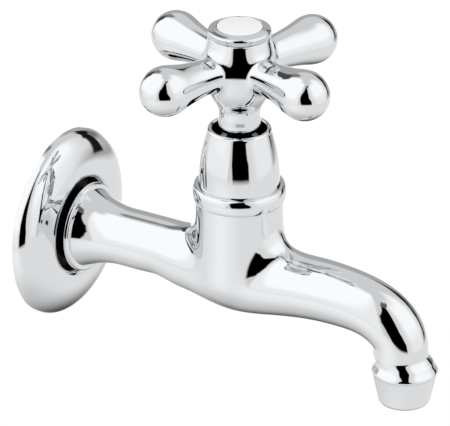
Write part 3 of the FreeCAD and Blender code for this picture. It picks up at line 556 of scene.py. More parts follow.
def body_cage():
    """Rings of twelve along the run, open on top where twelve-sided barrel rings start."""
    middle = RUN.at[VALVE_STATION]
    before = middle - CAGE_HALF
    after = RUN.length - middle - CAGE_HALF
    wall_side = np.linspace(0, before, max(2, round(before / RUN_STEP)) + 1)
    spout_side = np.linspace(middle + CAGE_HALF, RUN.length, max(2, round(after / RUN_STEP)) + 1)
    stops = np.concatenate([wall_side, [middle], spout_side])
    first = len(wall_side) - 1
    open_sides = [side % RUN_SIDES for side in (-2, -1, 0, 1)]
    points = []
    for at in stops:
        x, z, radius = RUN.follow(at)[0]
        along_x, along_z, _ = RUN.follow(at, 1)[0]
        size = math.hypot(along_x, along_z)
        for j in range(RUN_SIDES):
            turn = 2 * math.pi * j / RUN_SIDES
            up = radius * math.cos(turn)
            points.append((x - up * along_z / size, radius * math.sin(turn), z + up * along_x / size))

    def is_open(k, j):
        return k in (first, first + 1) and j in open_sides

    faces = grid_faces(len(stops), RUN_SIDES, is_open)
    loop = [(first + 2, j) for j in (0, 1, 2)] + [(first + 1, 2)]
    loop += [(first, j) for j in (2, 1, 0, -1, -2)] + [(first + 1, -2)]
    loop += [(first + 2, j) for j in (-2, -1)]
    last = [row * RUN_SIDES + side % RUN_SIDES for row, side in loop]
    for z in BARREL_RINGS:
        ahead = []
        for j in range(RUN_SIDES):
            turn = 2 * math.pi * j / RUN_SIDES
            ahead.append(len(points))
            points.append((VALVE_X + BARREL_R * math.cos(turn), BARREL_R * math.sin(turn), z))
        faces += tube_faces(last, ahead)
        last = ahead
    return points, faces


def tail_outline():
    """Trumpet, collar, shank, land and core of the tail, then its bore, towards the wall."""
    points = []
    step_r = COLLAR_R - COLLAR_STEP
    for i in range(1, OUTLINE_STEPS + 1):
        x = RUN_START_X - (RUN_START_X - COLLAR_FRONT_X) * i / OUTLINE_STEPS
        share = min(1.0, (x - COLLAR_FRONT_X) / TRUMPET_L)
        points.append((TUBE_R + (step_r - TUBE_R) * (1 - share) ** TRUMPET_POWER, x))
    collar = eased([
        (step_r, COLLAR_FRONT_X), (COLLAR_R, COLLAR_FRONT_X), (COLLAR_R, COLLAR_X),
        (SHANK_R, COLLAR_X)], COLLAR_EDGE, 6)
    root_r = THREAD_R - THREAD_DEPTH
    points += collar[1:]
    points += [
        (SHANK_R, FLANGE_WELL_X), (THREAD_R, FLANGE_WELL_X), (THREAD_R, -THREAD_LAND),
        (root_r, -THREAD_LAND - THREAD_RUNOUT), (root_r, TAIL_X + TAIL_CHAMFER),
        (root_r - TAIL_CHAMFER, TAIL_X), (INLET_BORE_R + BORE_CHAMFER, TAIL_X),
        (INLET_BORE_R, TAIL_X + BORE_CHAMFER), (INLET_BORE_R, INLET_BORE_END), (0, INLET_BORE_END)]
    return points


def barrel_outline():
    """Bead, groove for the cover, spigot and the bore that holds the valve."""
    points = []
    for i in range(1, OUTLINE_STEPS + 1):
        turn = math.pi * (i / OUTLINE_STEPS - 0.5)
        radius = BARREL_R + (BEAD_R - BARREL_R) * math.cos(turn)
        points.append((radius, BEAD_Z + BEAD_HALF * math.sin(turn)))
    groove_r = COVER_BASE_R + COVER_GAP
    points[-1] = (groove_r, BEAD_Z + BEAD_HALF)
    return points + [
        (groove_r, COVER_SEAT_Z), (SPIGOT_R, COVER_SEAT_Z), (SPIGOT_R, SPIGOT_TOP_Z),
        (HEAD_BORE_R, SPIGOT_TOP_Z), (HEAD_BORE_R, CHAMBER_TOP_Z), (CHAMBER_R, CHAMBER_TOP_Z),
        (CHAMBER_R, CHAMBER_FLOOR_Z), (0, CHAMBER_FLOOR_Z)]


def mouth_outline():
    """Flare from the spout's end to the ring, then the mouth's bore."""
    side_r = RING_R - RING_ROUND
    top_z = RING_Z + RING_HALF
    drop = SPOUT_END_Z - RING_Z - RING_HALF
    spread = RING_R - SPOUT_END_R
    points = [(SPOUT_END_R, SPOUT_END_Z)]
    for widening, lowering in FLARE:
        points.append((SPOUT_END_R + widening * spread, SPOUT_END_Z - lowering * drop))
    flare = smooth(points + [(side_r, top_z)], 16, start=(0, -1))
    edge = smooth([(side_r, top_z), (RING_R, RING_Z), (side_r, MOUTH_Z)], 8)
    sides = []
    for radius, z in flare[1:] + edge[1:]:
        left = max(0.0, (z - SHIFT_END_Z) / (SPOUT_END_Z - SHIFT_END_Z))
        sides.append((radius, z, -SPOUT_SHIFT * left**2 * (3 - 2 * left)))
    return sides + [
        (MOUTH_BORE_R, MOUTH_Z), (MOUTH_BORE_R, MOUTH_SHOULDER_Z), (SPOUT_BORE_R, MOUTH_SHOULDER_Z),
        (SPOUT_BORE_R, SPOUT_BORE_TOP_Z), (0, SPOUT_BORE_TOP_Z)]


def casting():
    """The body's outer skin, from the tail through the barrel's top to the spout's mouth."""
    bm = divided(*body_cage())
    draw_to(bm, body_field)
    tube_end = open_ring(bm, RUN_START_X, "X")
    barrel_top = open_ring(bm, BARREL_TOP_Z, "Z", VALVE_X)
    spout_end = open_ring(bm, SPOUT_END_Z, "Z", OUTLET_X)
    settle(tube_end, TUBE_R, RUN_START_X, "X")
    settle(barrel_top, BARREL_R, BARREL_TOP_Z, "Z", VALVE_X)
    settle(spout_end, SPOUT_END_R, SPOUT_END_Z, "Z", OUTLET_X - SPOUT_SHIFT)
    grow(bm, tube_end, tail_outline(), "X")
    grow(bm, barrel_top, barrel_outline(), "Z", VALVE_X)
    grow(bm, spout_end, mouth_outline(), "Z", OUTLET_X)
    return mesh_object("tap_casting", bm)


def hub_profile():
    """Radius and height of the hub's outside, from the neck to the top."""
    points = [
        (NECK_R, NECK_SIDE_Z), (NECK_R + NECK_WAIST, NECK_SIDE_Z + NECK_EDGE),
        (NECK_R - NECK_WAIST, NECK_TOP_Z)]
    for rise, spread in HUB_FLARE:
        points.append((NECK_R + spread * (HUB_R - NECK_R), NECK_TOP_Z + rise * (ARM_Z - NECK_TOP_Z)))
    for rise, spread in HUB_TAPER:
        points.append((HUB_R + spread * (HUB_TOP_R - HUB_R), ARM_Z + rise * (HUB_SIDE_Z - ARM_Z)))
    return points


HUB_LINE = np.array(smooth(hub_profile(), PROFILE_STEPS))
ARM_LINE = np.array(smooth(ARM_PROFILE, PROFILE_STEPS, end=(1, 0)))


def hub_field(spots):
    """Distance from the hub's side."""
    from_axis = np.hypot(spots[:, 0] - VALVE_X, spots[:, 1])
    radius = np.interp(spots[:, 2], HUB_LINE[:, 1], HUB_LINE[:, 0])
    lean = np.interp(spots[:, 2], HUB_LINE[:, 1], np.gradient(HUB_LINE[:, 0], HUB_LINE[:, 1]))
    return (from_axis - radius) / np.sqrt(1 + lean**2)


def arm_field(spots, turn):
    """Distance from one arm, which ends in half an ellipsoid."""
    x = spots[:, 0] - VALVE_X
    reach = x * math.cos(turn) + spots[:, 1] * math.sin(turn)
    aside = spots[:, 1] * math.cos(turn) - x * math.sin(turn)
    from_axis = np.sqrt(aside**2 + (spots[:, 2] - ARM_Z) ** 2 + np.minimum(reach, 0) ** 2)
    radius = np.interp(reach, ARM_LINE[:, 0], ARM_LINE[:, 1])
    past = np.maximum(reach - ARM_BALL_REACH, 0) / (ARM_TIP_REACH - ARM_BALL_REACH)
    side = from_axis - radius
    tip = (np.sqrt(past**2 + (from_axis / ARM_BALL_R) ** 2) - 1) * ARM_BALL_R
    return np.where(reach > ARM_BALL_REACH, tip, side)


def handle_field(spots):
    """The hub and its arms, blended at the roots."""
    total = hub_field(spots)
    arms = [arm_field(spots, math.radians(ARM_ANGLE + 360 * i / ARM_COUNT)) for i in range(ARM_COUNT)]
    return blended(total, np.min(arms, axis=0), ARM_BLEND)


def arm_cage(points, faces, last, turn):
    """Carry a cage on from a ring of point numbers at an arm's root to the arm's tip."""
    for reach in ARM_RINGS:
        radius = float(np.interp(reach, ARM_LINE[:, 0], ARM_LINE[:, 1]))
        past = max(0.0, reach - ARM_BALL_REACH) / (ARM_TIP_REACH - ARM_BALL_REACH)
        radius *= math.sqrt(1 - past**2)
        ahead = []
        for i in range(ARM_SIDES):
            roll = 2 * math.pi * i / ARM_SIDES
            aside = radius * math.cos(roll)
            x = VALVE_X + reach * math.cos(turn) - aside * math.sin(turn)
            y = reach * math.sin(turn) + aside * math.cos(turn)
            ahead.append(len(points))
            points.append((x, y, ARM_Z + radius * math.sin(roll)))
        faces += tube_faces(last, ahead)
        last = ahead
    tip = len(points)
    points.append((VALVE_X + ARM_TIP_REACH * math.cos(turn), ARM_TIP_REACH * math.sin(turn), ARM_Z))
    for i in range(0, ARM_SIDES, 2):
        faces.append([last[i], last[i + 1], last[(i + 2) % ARM_SIDES], tip])


def handle_cage():
    """Rings of sixteen up the hub, with an eight-sided branch for each arm."""
    roots = (ARM_Z - ARM_ROOT_R, ARM_Z, ARM_Z + ARM_ROOT_R)
    heights = (NECK_SIDE_Z, *HUB_RINGS, *roots, HUB_TOP_RING_Z, HUB_SIDE_Z)
    low = heights.index(ARM_Z) - 1
    spacing = HUB_SIDES // ARM_COUNT
    start = math.radians(ARM_ANGLE)
    points = []
    for z in heights:
        radius = float(np.interp(z, HUB_LINE[:, 1], HUB_LINE[:, 0]))
        for j in range(HUB_SIDES):
            turn = start + 2 * math.pi * j / HUB_SIDES
            points.append((VALVE_X + radius * math.cos(turn), radius * math.sin(turn), z))

    def is_open(k, j):
        return k in (low, low + 1) and j % spacing in (0, spacing - 1)

    faces = grid_faces(len(heights), HUB_SIDES, is_open)
    around = [(1, 1), (2, 1), (2, 0), (2, -1), (1, -1), (0, -1), (0, 0), (0, 1)]
    for arm in range(ARM_COUNT):
        root = [(low + row) * HUB_SIDES + (arm * spacing + side) % HUB_SIDES for row, side in around]
        arm_cage(points, faces, root, start + 2 * math.pi * arm / ARM_COUNT)
    return points, faces


def handle():
    """Hub and arms as one skin, with the socket below and the cap's well above."""
    bm = divided(*handle_cage())
    draw_to(bm, handle_field)
    foot = open_ring(bm, NECK_SIDE_Z, "Z", VALVE_X)
    top = open_ring(bm, HUB_SIDE_Z, "Z", VALVE_X)
    settle(foot, NECK_R, NECK_SIDE_Z, "Z", VALVE_X)
    settle(top, HUB_TOP_R, HUB_SIDE_Z, "Z", VALVE_X)
    rounding = quarter((NECK_R, NECK_SIDE_Z), (NECK_R - NECK_EDGE, NECK_FOOT_Z), False)
    foot_end = grow(bm, foot, rounding[1:] + [
        (SOCKET_R, NECK_FOOT_Z), (SOCKET_R, SPLINE_FOOT_Z), (SPLINE_R, SPLINE_FOOT_Z), (SPLINE_R, WEB_Z),
        (WEB_HOLE_R, WEB_Z), (WEB_HOLE_R, WEB_TOP_Z)], "Z", VALVE_X)
    edge = quarter((HUB_TOP_R, HUB_SIDE_Z), (HUB_TOP_R - HUB_EDGE, HUB_TOP_Z), False)
    top_end = grow(bm, top, edge[1:] + [
        (CAP_THREAD_R, HUB_TOP_Z), (CAP_THREAD_R, CAP_THREAD_FOOT_Z), (WELL_R, CAP_THREAD_FOOT_Z),
        (WELL_R, WEB_TOP_Z), (WEB_HOLE_R + WEB_HOLE_EDGE, WEB_TOP_Z)], "Z", VALVE_X)
    skin(bm, foot_end, top_end)
    return mesh_object("handle_casting", bm)


def flange():
    """Pressed dome with a turned-in well, one sheet thick."""
    back_x = FLANGE_WELL_X - FLANGE_SHEET
    back_r = FLANGE_HOLE_R + FLANGE_SHEET
    lip_x = FLANGE_DEPTH - FLANGE_LIP
    inner_r = FLANGE_R - FLANGE_SHEET
    inner_crest = (FLANGE_CREST_R, FLANGE_DEPTH - FLANGE_SHEET)
    crest = (FLANGE_CREST_R, FLANGE_DEPTH)
    outline = [(FLANGE_R - FLANGE_BREAK, 0), (FLANGE_R, FLANGE_BREAK)]
    outline += quarter((FLANGE_R, FLANGE_EDGE), crest, False, 40)
    outline += quarter(crest, (FLANGE_HOLE_R, lip_x), True, 16)[1:]
    outline += [
        (FLANGE_HOLE_R, FLANGE_WELL_X), (FLANGE_FLOOR_HOLE_R, FLANGE_WELL_X),
        (FLANGE_FLOOR_HOLE_R, back_x), (back_r, back_x)]
    outline += quarter((back_r, lip_x), inner_crest, False, 12)
    outline += quarter(inner_crest, (inner_r, FLANGE_EDGE), True, 24)[1:]
    outline += [(inner_r, 0)]
    return turned("wall_flange_dome", outline, "X")


def cover():
    """Bell cover with a rolled rim and a bore."""
    shoulder = (COVER_TOP_R, COVER_TOP_Z - COVER_ROLL)
    crown = (COVER_TOP_R - COVER_ROLL, COVER_TOP_Z)
    hole = (COVER_HOLE_R, COVER_TOP_Z - COVER_ROLL)
    outline = [(COVER_BORE_R, COVER_SEAT_Z), (COVER_BASE_R - COVER_FOOT_ROUND, COVER_SEAT_Z)]
    outline += smooth([
        (COVER_BASE_R, COVER_SEAT_Z + COVER_FOOT_ROUND),
        (COVER_BASE_R - COVER_FOOT_IN, COVER_SEAT_Z + COVER_FOOT_H),
        (COVER_MID_R, COVER_MID_Z), shoulder], 48)
    outline += quarter(shoulder, crown, False)[1:]
    outline += quarter(crown, hole)[1:]
    outline += [(COVER_HOLE_R, COVER_TOP_Z - 2 * COVER_ROLL), (COVER_BORE_R, COVER_BORE_TOP_Z)]
    return turned("bell_cover_shell", outline, "Z", VALVE_X)


def cap():
    """Cap with a bevel and a rounded rim over its ribbed band, a recess for the disc and a skirt."""
    band_foot = HUB_TOP_Z + CAP_SHOULDER
    band_top = HUB_TOP_Z + CAP_BAND_H
    side_r = CAP_R - KNURL_DEPTH
    skirt_r = CAP_THREAD_R - CAP_SKIRT_GAP
    bore_r = CAP_THREAD_R - CAP_WALL
    recess_r = DISC_R + DISC_GAP
    rim_foot = band_top - CAP_RIM_H
    bevel_foot = (CAP_R - CAP_ROUND, band_top + CAP_BEVEL_RISE)
    bevel_mid = (CAP_RIM_R + CAP_BEVEL_MID[0], CAP_RIM_Z - CAP_BEVEL_MID[1])
    outline = [
        (0, DISC_FLOOR_Z - CAP_WALL), (bore_r, DISC_FLOOR_Z - CAP_WALL), (bore_r, CAP_SKIRT_Z),
        (skirt_r, CAP_SKIRT_Z), (skirt_r, band_foot), (side_r, band_foot), (side_r, rim_foot),
        (CAP_R - CAP_EDGE, rim_foot + CAP_RIM_STEP)]
    outline += quarter((CAP_R, rim_foot + CAP_RIM_SIDE), bevel_foot, False, 8)
    outline += smooth([bevel_foot, bevel_mid, (CAP_RIM_R, CAP_RIM_Z - CAP_TOP_DROP)], 10)[1:]
    outline += [
        (CAP_RIM_R - CAP_EDGE, CAP_RIM_Z), (recess_r + CAP_RECESS_EDGE, CAP_RIM_Z),
        (recess_r, CAP_RIM_Z - CAP_EDGE), (recess_r, DISC_FLOOR_Z), (0, DISC_FLOOR_Z)]
    return turned("cap_shell", outline, "Z", VALVE_X)


def disc():
    """Plain crowned disc with a softened edge."""
    side_r = DISC_R - DISC_SIDE_IN
    crown_r = DISC_R - DISC_EDGE
    edge_z = DISC_TOP_Z - DISC_CROWN
    outline = [(0, DISC_FLOOR_Z), (side_r, DISC_FLOOR_Z), (side_r, edge_z - DISC_EDGE)]
    outline += quarter((side_r, edge_z - DISC_EDGE), (crown_r, edge_z), False, 6)[1:]
    for i in range(1, OUTLINE_STEPS + 1):
        radius = crown_r * (1 - i / OUTLINE_STEPS)
        outline.append((radius, edge_z + DISC_CROWN * (1 - (radius / crown_r) ** 2)))
    return turned("cap_disc", outline, "Z", VALVE_X)


def nozzle():
    """Conical housing of the aerator with a turned-in tip."""
    start = (NOZZLE_TIP_R, NOZZLE_TIP_Z + NOZZLE_TIP_ROUND)
    turned_in = (NOZZLE_TIP_R - NOZZLE_TIP_ROUND, NOZZLE_TIP_Z)
    lip_z = NOZZLE_TIP_Z + NOZZLE_LIP_T
    outline = [
        (NOZZLE_BORE_R, NOZZLE_TOP_Z), (NOZZLE_THREAD_R, NOZZLE_TOP_Z), (NOZZLE_THREAD_R, MOUTH_Z)]
    outline += [(NOZZLE_R - inward, MOUTH_Z - down) for inward, down in NOZZLE_SHOULDER]
    outline += quarter(start, turned_in, False)
    lip = [turned_in, (NOZZLE_LIP_R, NOZZLE_TIP_Z), (NOZZLE_LIP_R, lip_z)]
    outline += eased(lip, NOZZLE_LIP_ROUND)[1:]
    outline += [(NOZZLE_BORE_R, lip_z)]
    return turned("nozzle_shell", outline, "Z", OUTLET_X)


def clear_tree(owner):
    """Node tree of a material or world, emptied."""
    owner.use_nodes = True
    owner.node_tree.nodes.clear()
    return owner.node_tree


def add(tree, kind, inputs=None, **settings):
    """Add a node with its settings, and return its outputs. Each input is a value, or a socket
    to link."""
    node = tree.nodes.new(kind)
    for name, value in settings.items():
        setattr(node, name, value)
    for key, value in (inputs or {}).items():
        socket = node.inputs[key]
        if isinstance(value, bpy.types.NodeSocket):
            tree.links.new(value, socket)
        else:
            socket.default_value = value
    return node.outputs


def colour(code):
    """A hex sRGB colour as linear red, green, blue and alpha."""
    parts = [int(code[i:i + 2], 16) / 255 for i in (1, 3, 5)]
    return [p / 12.92 if p < 0.04045 else ((p + 0.055) / 1.055) ** 2.4 for p in parts] + [1.0]


MATH = "ShaderNodeMath"
NOISE = "ShaderNodeTexNoise"
RANGE = "ShaderNodeMapRange"
BUMP = "ShaderNodeBump"
PRINCIPLED = "ShaderNodeBsdfPrincipled"
OUTPUT = "ShaderNodeOutputMaterial"

# Finishes: sizes of their patterns in millimetres
BUFF_WAVE = 16.0          # breadth of the faint swells that hand buffing leaves
BUFF_HEIGHT = 0.012
HAZE_SIZE = 7.0           # patches that are a little less bright
SPIN_LINE = 0.8           # rings left by spinning, drawn coarser than real so that they show
SPIN_HEIGHT = 0.0012
TURNING_LINE = 0.35       # tool marks of the lathe, drawn coarser than real so that they show
TURNING_HEIGHT = 0.0006
TOOL_LINE = 0.25          # feed marks on bare machined brass
TOOL_HEIGHT = 0.004
SHADE_BRASS_MARK_HEIGHT = 0.00025  # what is left of the feed marks on the brass painted near black as shade
FLOW = 2.2                # waves of fired enamel
FLOW_HEIGHT = 0.004
GRAIN = 0.35              # grain of rubber and moulded plastic
RUBBER_HEIGHT = 0.01
BLOOM = 3.0               # pale patches on old rubber
FIBRE_L = 2.5
FIBRE_W = 0.25
FIBRE_HEIGHT = 0.02
ACETAL_HEIGHT = 0.004
ACETAL_DEPTH = 1.2        # how far light spreads inside it
CHROME_COLOUR = "#E5E7E9"


def finish(name):
    """An empty material, its tree and the place on the piece."""
    material = bpy.data.materials.new(name)
    tree = clear_tree(material)
    return material, tree, add(tree, "ShaderNodeTexCoord")["Object"]


def from_line(tree, spot, line, centre):
    """Distance from a centre over the directions that a mask keeps: across an axis, or along it."""
    moved = add(tree, "ShaderNodeMapping", {"Vector": spot, "Location": [-c * MM for c in centre]})[0]
    flat = add(tree, "ShaderNodeVectorMath", {0: moved, 1: line}, operation="MULTIPLY")[0]
    return add(tree, "ShaderNodeVectorMath", {0: flat}, operation="LENGTH")["Value"]


def plated(tree, spot, bump, rough_low, rough_high):
    """Chromium plate on a bumped ground, with patches that are a little less bright."""
    haze = add(tree, NOISE, {"Vector": spot, "Scale": 1 / (HAZE_SIZE * MM), "Detail": 3.0})[0]
    rough = add(tree, RANGE, {
        "Value": haze, "From Min": 0.35, "From Max": 0.7, "To Min": rough_low, "To Max": rough_high})[0]
    shader = add(tree, PRINCIPLED, {
        "Base Color": colour(CHROME_COLOUR), "Metallic": 1.0, "Roughness": rough, "Normal": bump})
    add(tree, OUTPUT, {"Surface": shader[0]})


def toned(tree, share, dark, bright, surface):
    """A surface whose colour runs from a dark to a bright one with a share from 0 to 1."""
    tone = add(tree, "ShaderNodeMix", {
        "Factor": share, "A": colour(dark), "B": colour(bright)}, data_type="RGBA")
    shader = add(tree, PRINCIPLED, {"Base Color": tone["Result"], **surface})
    add(tree, OUTPUT, {"Surface": shader[0]})


def buffed_chrome():
    """Bright chromium plate on cast brass, buffed by hand. It gives the eye a cool, sharp mirror
    whose reflections swim very slightly, because buffing leaves the metal faintly uneven."""
    material, tree, spot = finish("buffed_chromium_plate")
    swell = add(tree, NOISE, {"Vector": spot, "Scale": 1 / (BUFF_WAVE * MM), "Detail": 1.0})[0]
    bump = add(tree, BUMP, {"Height": swell, "Distance": BUFF_HEIGHT * MM})[0]
    plated(tree, spot, bump, 0.015, 0.045)
    return material


def ringed_chrome(name, line, centre, spacing, height):
    """Chromium plate over metal that was spun or turned: a mirror with faint rings round its axis,
    which soften a reflection across them more than along them."""
    material, tree, spot = finish(name)
    away = from_line(tree, spot, line, centre)
    rings = add(tree, NOISE, {
        "W": away, "Scale": 1 / (spacing * MM), "Detail": 3.0}, noise_dimensions="1D")[0]
    bump = add(tree, BUMP, {"Height": rings, "Distance": height * MM})[0]
    plated(tree, spot, bump, 0.02, 0.05)
    return material


def unbuffed_chrome():
    """Thin chromium plate on faces that nobody polishes, as inside the flange: grey and satin."""
    material, tree, spot = finish("unpolished_chromium_plate")
    grain = add(tree, NOISE, {"Vector": spot, "Scale": 1 / (GRAIN * MM), "Detail": 4.0})[0]
    bump = add(tree, BUMP, {"Height": grain, "Distance": TOOL_HEIGHT * MM})[0]
    patch = add(tree, NOISE, {"Vector": spot, "Scale": 1 / (HAZE_SIZE * MM), "Detail": 4.0})[0]
    rough = add(tree, RANGE, {
        "Value": patch, "From Min": 0.3, "From Max": 0.7, "To Min": 0.28, "To Max": 0.42})[0]
    toned(tree, patch, "#A9ABAC", "#BFC1C3", {"Metallic": 1.0, "Roughness": rough, "Normal": bump})
    return material


def bare_metal(name, dark, bright, line, centre, rough_low, rough_high, height=TOOL_HEIGHT):
    """Bare copper alloy or steel from a lathe: fine feed marks round its axis, and a tarnish that
    gathers in soft patches, darker and duller than the rest."""
    material, tree, spot = finish(name)
    away = from_line(tree, spot, line, centre)
    marks = add(tree, NOISE, {
        "W": away, "Scale": 1 / (TOOL_LINE * MM), "Detail": 2.0}, noise_dimensions="1D")[0]
    bump = add(tree, BUMP, {"Height": marks, "Distance": height * MM})[0]
    patch = add(tree, NOISE, {"Vector": spot, "Scale": 1 / (HAZE_SIZE * MM), "Detail": 5.0})[0]
    share = add(tree, RANGE, {"Value": patch, "From Min": 0.35, "From Max": 0.65})[0]
    rough = add(tree, RANGE, {"Value": share, "To Min": rough_high, "To Max": rough_low})[0]
    toned(tree, share, dark, bright, {"Metallic": 1.0, "Roughness": rough, "Normal": bump})
    return material


def gloss_enamel():
    """Hard white enamel fired on a disc: a clean blue-white under a clear gloss, with the slight
    unevenness of glass that has flowed."""
    material, tree, spot = finish("fired_white_enamel")
    flow = add(tree, NOISE, {"Vector": spot, "Scale": 1 / (FLOW * MM), "Detail": 2.0})[0]
    bump = add(tree, BUMP, {"Height": flow, "Distance": FLOW_HEIGHT * MM})[0]
    toned(tree, flow, "#F1F3F5", "#F6F8FA", {
        "Roughness": 0.12, "IOR": 1.5, "Normal": bump, "Coat Weight": 0.6, "Coat Roughness": 0.04})
    return material


def moulded_rubber():
    """Nitrile rubber from a mould: dull black with a fine grain and a little bloom."""
    material, tree, spot = finish("moulded_nitrile_rubber")
    grain = add(tree, NOISE, {"Vector": spot, "Scale": 1 / (GRAIN * MM), "Detail": 4.0})[0]
    bump = add(tree, BUMP, {"Height": grain, "Distance": RUBBER_HEIGHT * MM})[0]
    bloom = add(tree, NOISE, {"Vector": spot, "Scale": 1 / (BLOOM * MM), "Detail": 3.0})[0]
    toned(tree, bloom, "#151516", "#242526", {"Roughness": 0.62, "IOR": 1.52, "Normal": bump})
    return material


def pressed_fibre():
    """Red vulcanised fibre: matte, with short fibres pressed flat in all directions."""
    material, tree, spot = finish("pressed_vulcanised_fibre")
    long = add(tree, "ShaderNodeMapping", {
        "Vector": spot, "Scale": (1 / FIBRE_L, 1 / FIBRE_W, 1 / FIBRE_W)})[0]
    strands = add(tree, NOISE, {"Vector": long, "Scale": 1 / MM, "Detail": 3.0, "Distortion": 0.6})[0]
    bump = add(tree, BUMP, {"Height": strands, "Distance": FIBRE_HEIGHT * MM})[0]
    toned(tree, strands, "#6E2F22", "#9A4E38", {"Roughness": 0.78, "IOR": 1.5, "Normal": bump})
    return material


def moulded_acetal():
    """Injection-moulded acetal: milky, half dull, and faintly translucent at thin edges."""
    material, tree, spot = finish("moulded_acetal")
    grain = add(tree, NOISE, {"Vector": spot, "Scale": 1 / (GRAIN * MM), "Detail": 2.0})[0]
    bump = add(tree, BUMP, {"Height": grain, "Distance": ACETAL_HEIGHT * MM})[0]
    toned(tree, grain, "#DEDDD8", "#EAE9E4", {
        "Roughness": 0.38, "IOR": 1.48, "Normal": bump, "Subsurface Weight": 0.2,
        "Subsurface Radius": [ACETAL_DEPTH * MM] * 3})
    return material


# Directions over which a finish's rings are spaced, and the valve's axis as their middle
ACROSS_X = (0, 1, 1)
ACROSS_Z = (1, 1, 0)
UP = (0, 0, 1)
VALVE_LINE = (VALVE_X, 0, 0)

BUFFED = buffed_chrome()
SPUN_FLANGE = ringed_chrome("spun_chromium_plate_flange", ACROSS_X, (0, 0, 0), SPIN_LINE, SPIN_HEIGHT)
TURNED_COVER = ringed_chrome("turned_chromium_plate_cover", UP, (0, 0, 0), SPIN_LINE, SPIN_HEIGHT)
TURNED_NOZZLE = ringed_chrome("turned_chromium_plate_nozzle", UP, (0, 0, 0), TURNING_LINE, TURNING_HEIGHT)
TURNED_CAP = ringed_chrome("turned_chromium_plate_cap", ACROSS_Z, VALVE_LINE, TURNING_LINE, TURNING_HEIGHT)
UNBUFFED = unbuffed_chrome()
BRASS = bare_metal("machined_brass", "#8A6A35", "#C7A363", UP, (0, 0, 0), 0.2, 0.42)
# Near-black brass: painted shade for the headwork, the spindle and the cover's inside, which lie in shadow
# under the cover
SHADE_BLACK_BRASS = bare_metal("brass_painted_black_as_shade", "#040303", "#0A0806", UP, (0, 0, 0), 0.55, 0.8,
                       SHADE_BRASS_MARK_HEIGHT)
BORE_BRASS = bare_metal("bored_cast_brass", "#6B5230", "#A98A52", ACROSS_X, (0, 0, 0), 0.3, 0.5)
BRONZE = bare_metal("sintered_bronze", "#6B4527", "#A87348", ACROSS_Z, VALVE_LINE, 0.35, 0.5)
# Near-black steel: painted shade in the flange's well
SHADE_DARK_STEEL = bare_metal("steel_sheet_painted_dark_as_shade", "#101011", "#242526", ACROSS_X, (0, 0, 0), 0.4, 0.65)
STEEL = bare_metal("drawn_stainless_steel", "#8E8F90", "#B4B5B6", ACROSS_Z, VALVE_LINE, 0.22, 0.34)
ENAMEL = gloss_enamel()
RUBBER = moulded_rubber()
FIBRE = pressed_fibre()
ACETAL = moulded_acetal()

# Imported pieces whose own shape stays, with their finishes
# The headwork and the spindle take the near-black brass, which is painted shade
CARRIED = {
    "cover_ring": RUBBER, "headwork": SHADE_BLACK_BRASS, "headwork_gasket": FIBRE, "spindle": SHADE_BLACK_BRASS,
    "thrust_washer": BRONZE, "stem_ring_lower": RUBBER, "stem_ring_upper": RUBBER,
    "retaining_clip": STEEL, "valve_carrier": BRASS, "seat_washer": RUBBER, "washer_screw": BRASS,
    "handle_screw": STEEL, "spring_washer": STEEL, "mouth_gasket": RUBBER, "aerator_cage": ACETAL,
    "aerator_mesh_upper": STEEL, "aerator_mesh_lower": STEEL}


NEAR = 0.1                # how far past its edges a finish's field still takes a face


def is_bore(spot):
    """Whether a face of the casting lies in one of its bores."""
    from_inlet = math.hypot(spot.y, spot.z)
    from_valve = math.hypot(spot.x - VALVE_X, spot.y)
    from_outlet = math.hypot(spot.x - OUTLET_X, spot.y)
    inlet = spot.x < INLET_BORE_END + NEAR and from_inlet < THREAD_R - THREAD_DEPTH - 1
    valve = spot.z > CHAMBER_FLOOR_Z - NEAR and from_valve < HEAD_BORE_R + NEAR
    spout = spot.z < SPOUT_BORE_TOP_Z + NEAR and from_outlet < SPOUT_BORE_R + NEAR
    mouth = spot.z < MOUTH_SHOULDER_Z + NEAR and from_outlet < MOUTH_BORE_R + NEAR
    return inlet or valve or spout or mouth


def is_back(spot):
    """Whether a face of the flange looks at the wall."""
    rim = math.hypot(spot.y, spot.z)
    dome = FLANGE_DEPTH - FLANGE_SHEET * 0.6
    share = (spot.x - FLANGE_EDGE) / (dome - FLANGE_EDGE)
    outer = (FLANGE_R - FLANGE_CREST_R) * math.sqrt(max(0.0, 1 - share**2))
    edge = spot.x < FLANGE_EDGE and rim < FLANGE_R - 0.5
    inside = spot.x < dome and FLANGE_HOLE_R + 0.5 < rim < FLANGE_CREST_R + outer - 0.7
    floor = spot.x < FLANGE_WELL_X - FLANGE_SHEET / 2 and rim < FLANGE_HOLE_R + 1
    return edge or inside or floor


def is_well(spot):
    """Whether a face of the flange lies in its well, which is painted near black as shade."""
    rim = math.hypot(spot.y, spot.z)
    return rim < FLANGE_HOLE_R + NEAR and FLANGE_WELL_X - NEAR < spot.x < FLANGE_WELL_X + WELL_SHADE_DEPTH


def is_under_cover(spot):
    """Whether a face of the bell cover looks at the headwork."""
    hole_foot = COVER_TOP_Z - 2 * COVER_ROLL
    share = min(max((hole_foot - spot.z) / (hole_foot - COVER_BORE_TOP_Z), 0.0), 1.0)
    radius = COVER_HOLE_R + (COVER_BORE_R - COVER_HOLE_R) * share
    from_valve = math.hypot(spot.x - VALVE_X, spot.y)
    return spot.z < COVER_TOP_Z - 0.6 * COVER_ROLL and from_valve < radius + 0.2


def inner(piece, material, test):
    """Give the faces that pass a test one more finish."""
    piece.data.materials.append(material)
    for face in piece.data.polygons:
        if test(face.center / MM):
            face.material_index = len(piece.data.materials) - 1


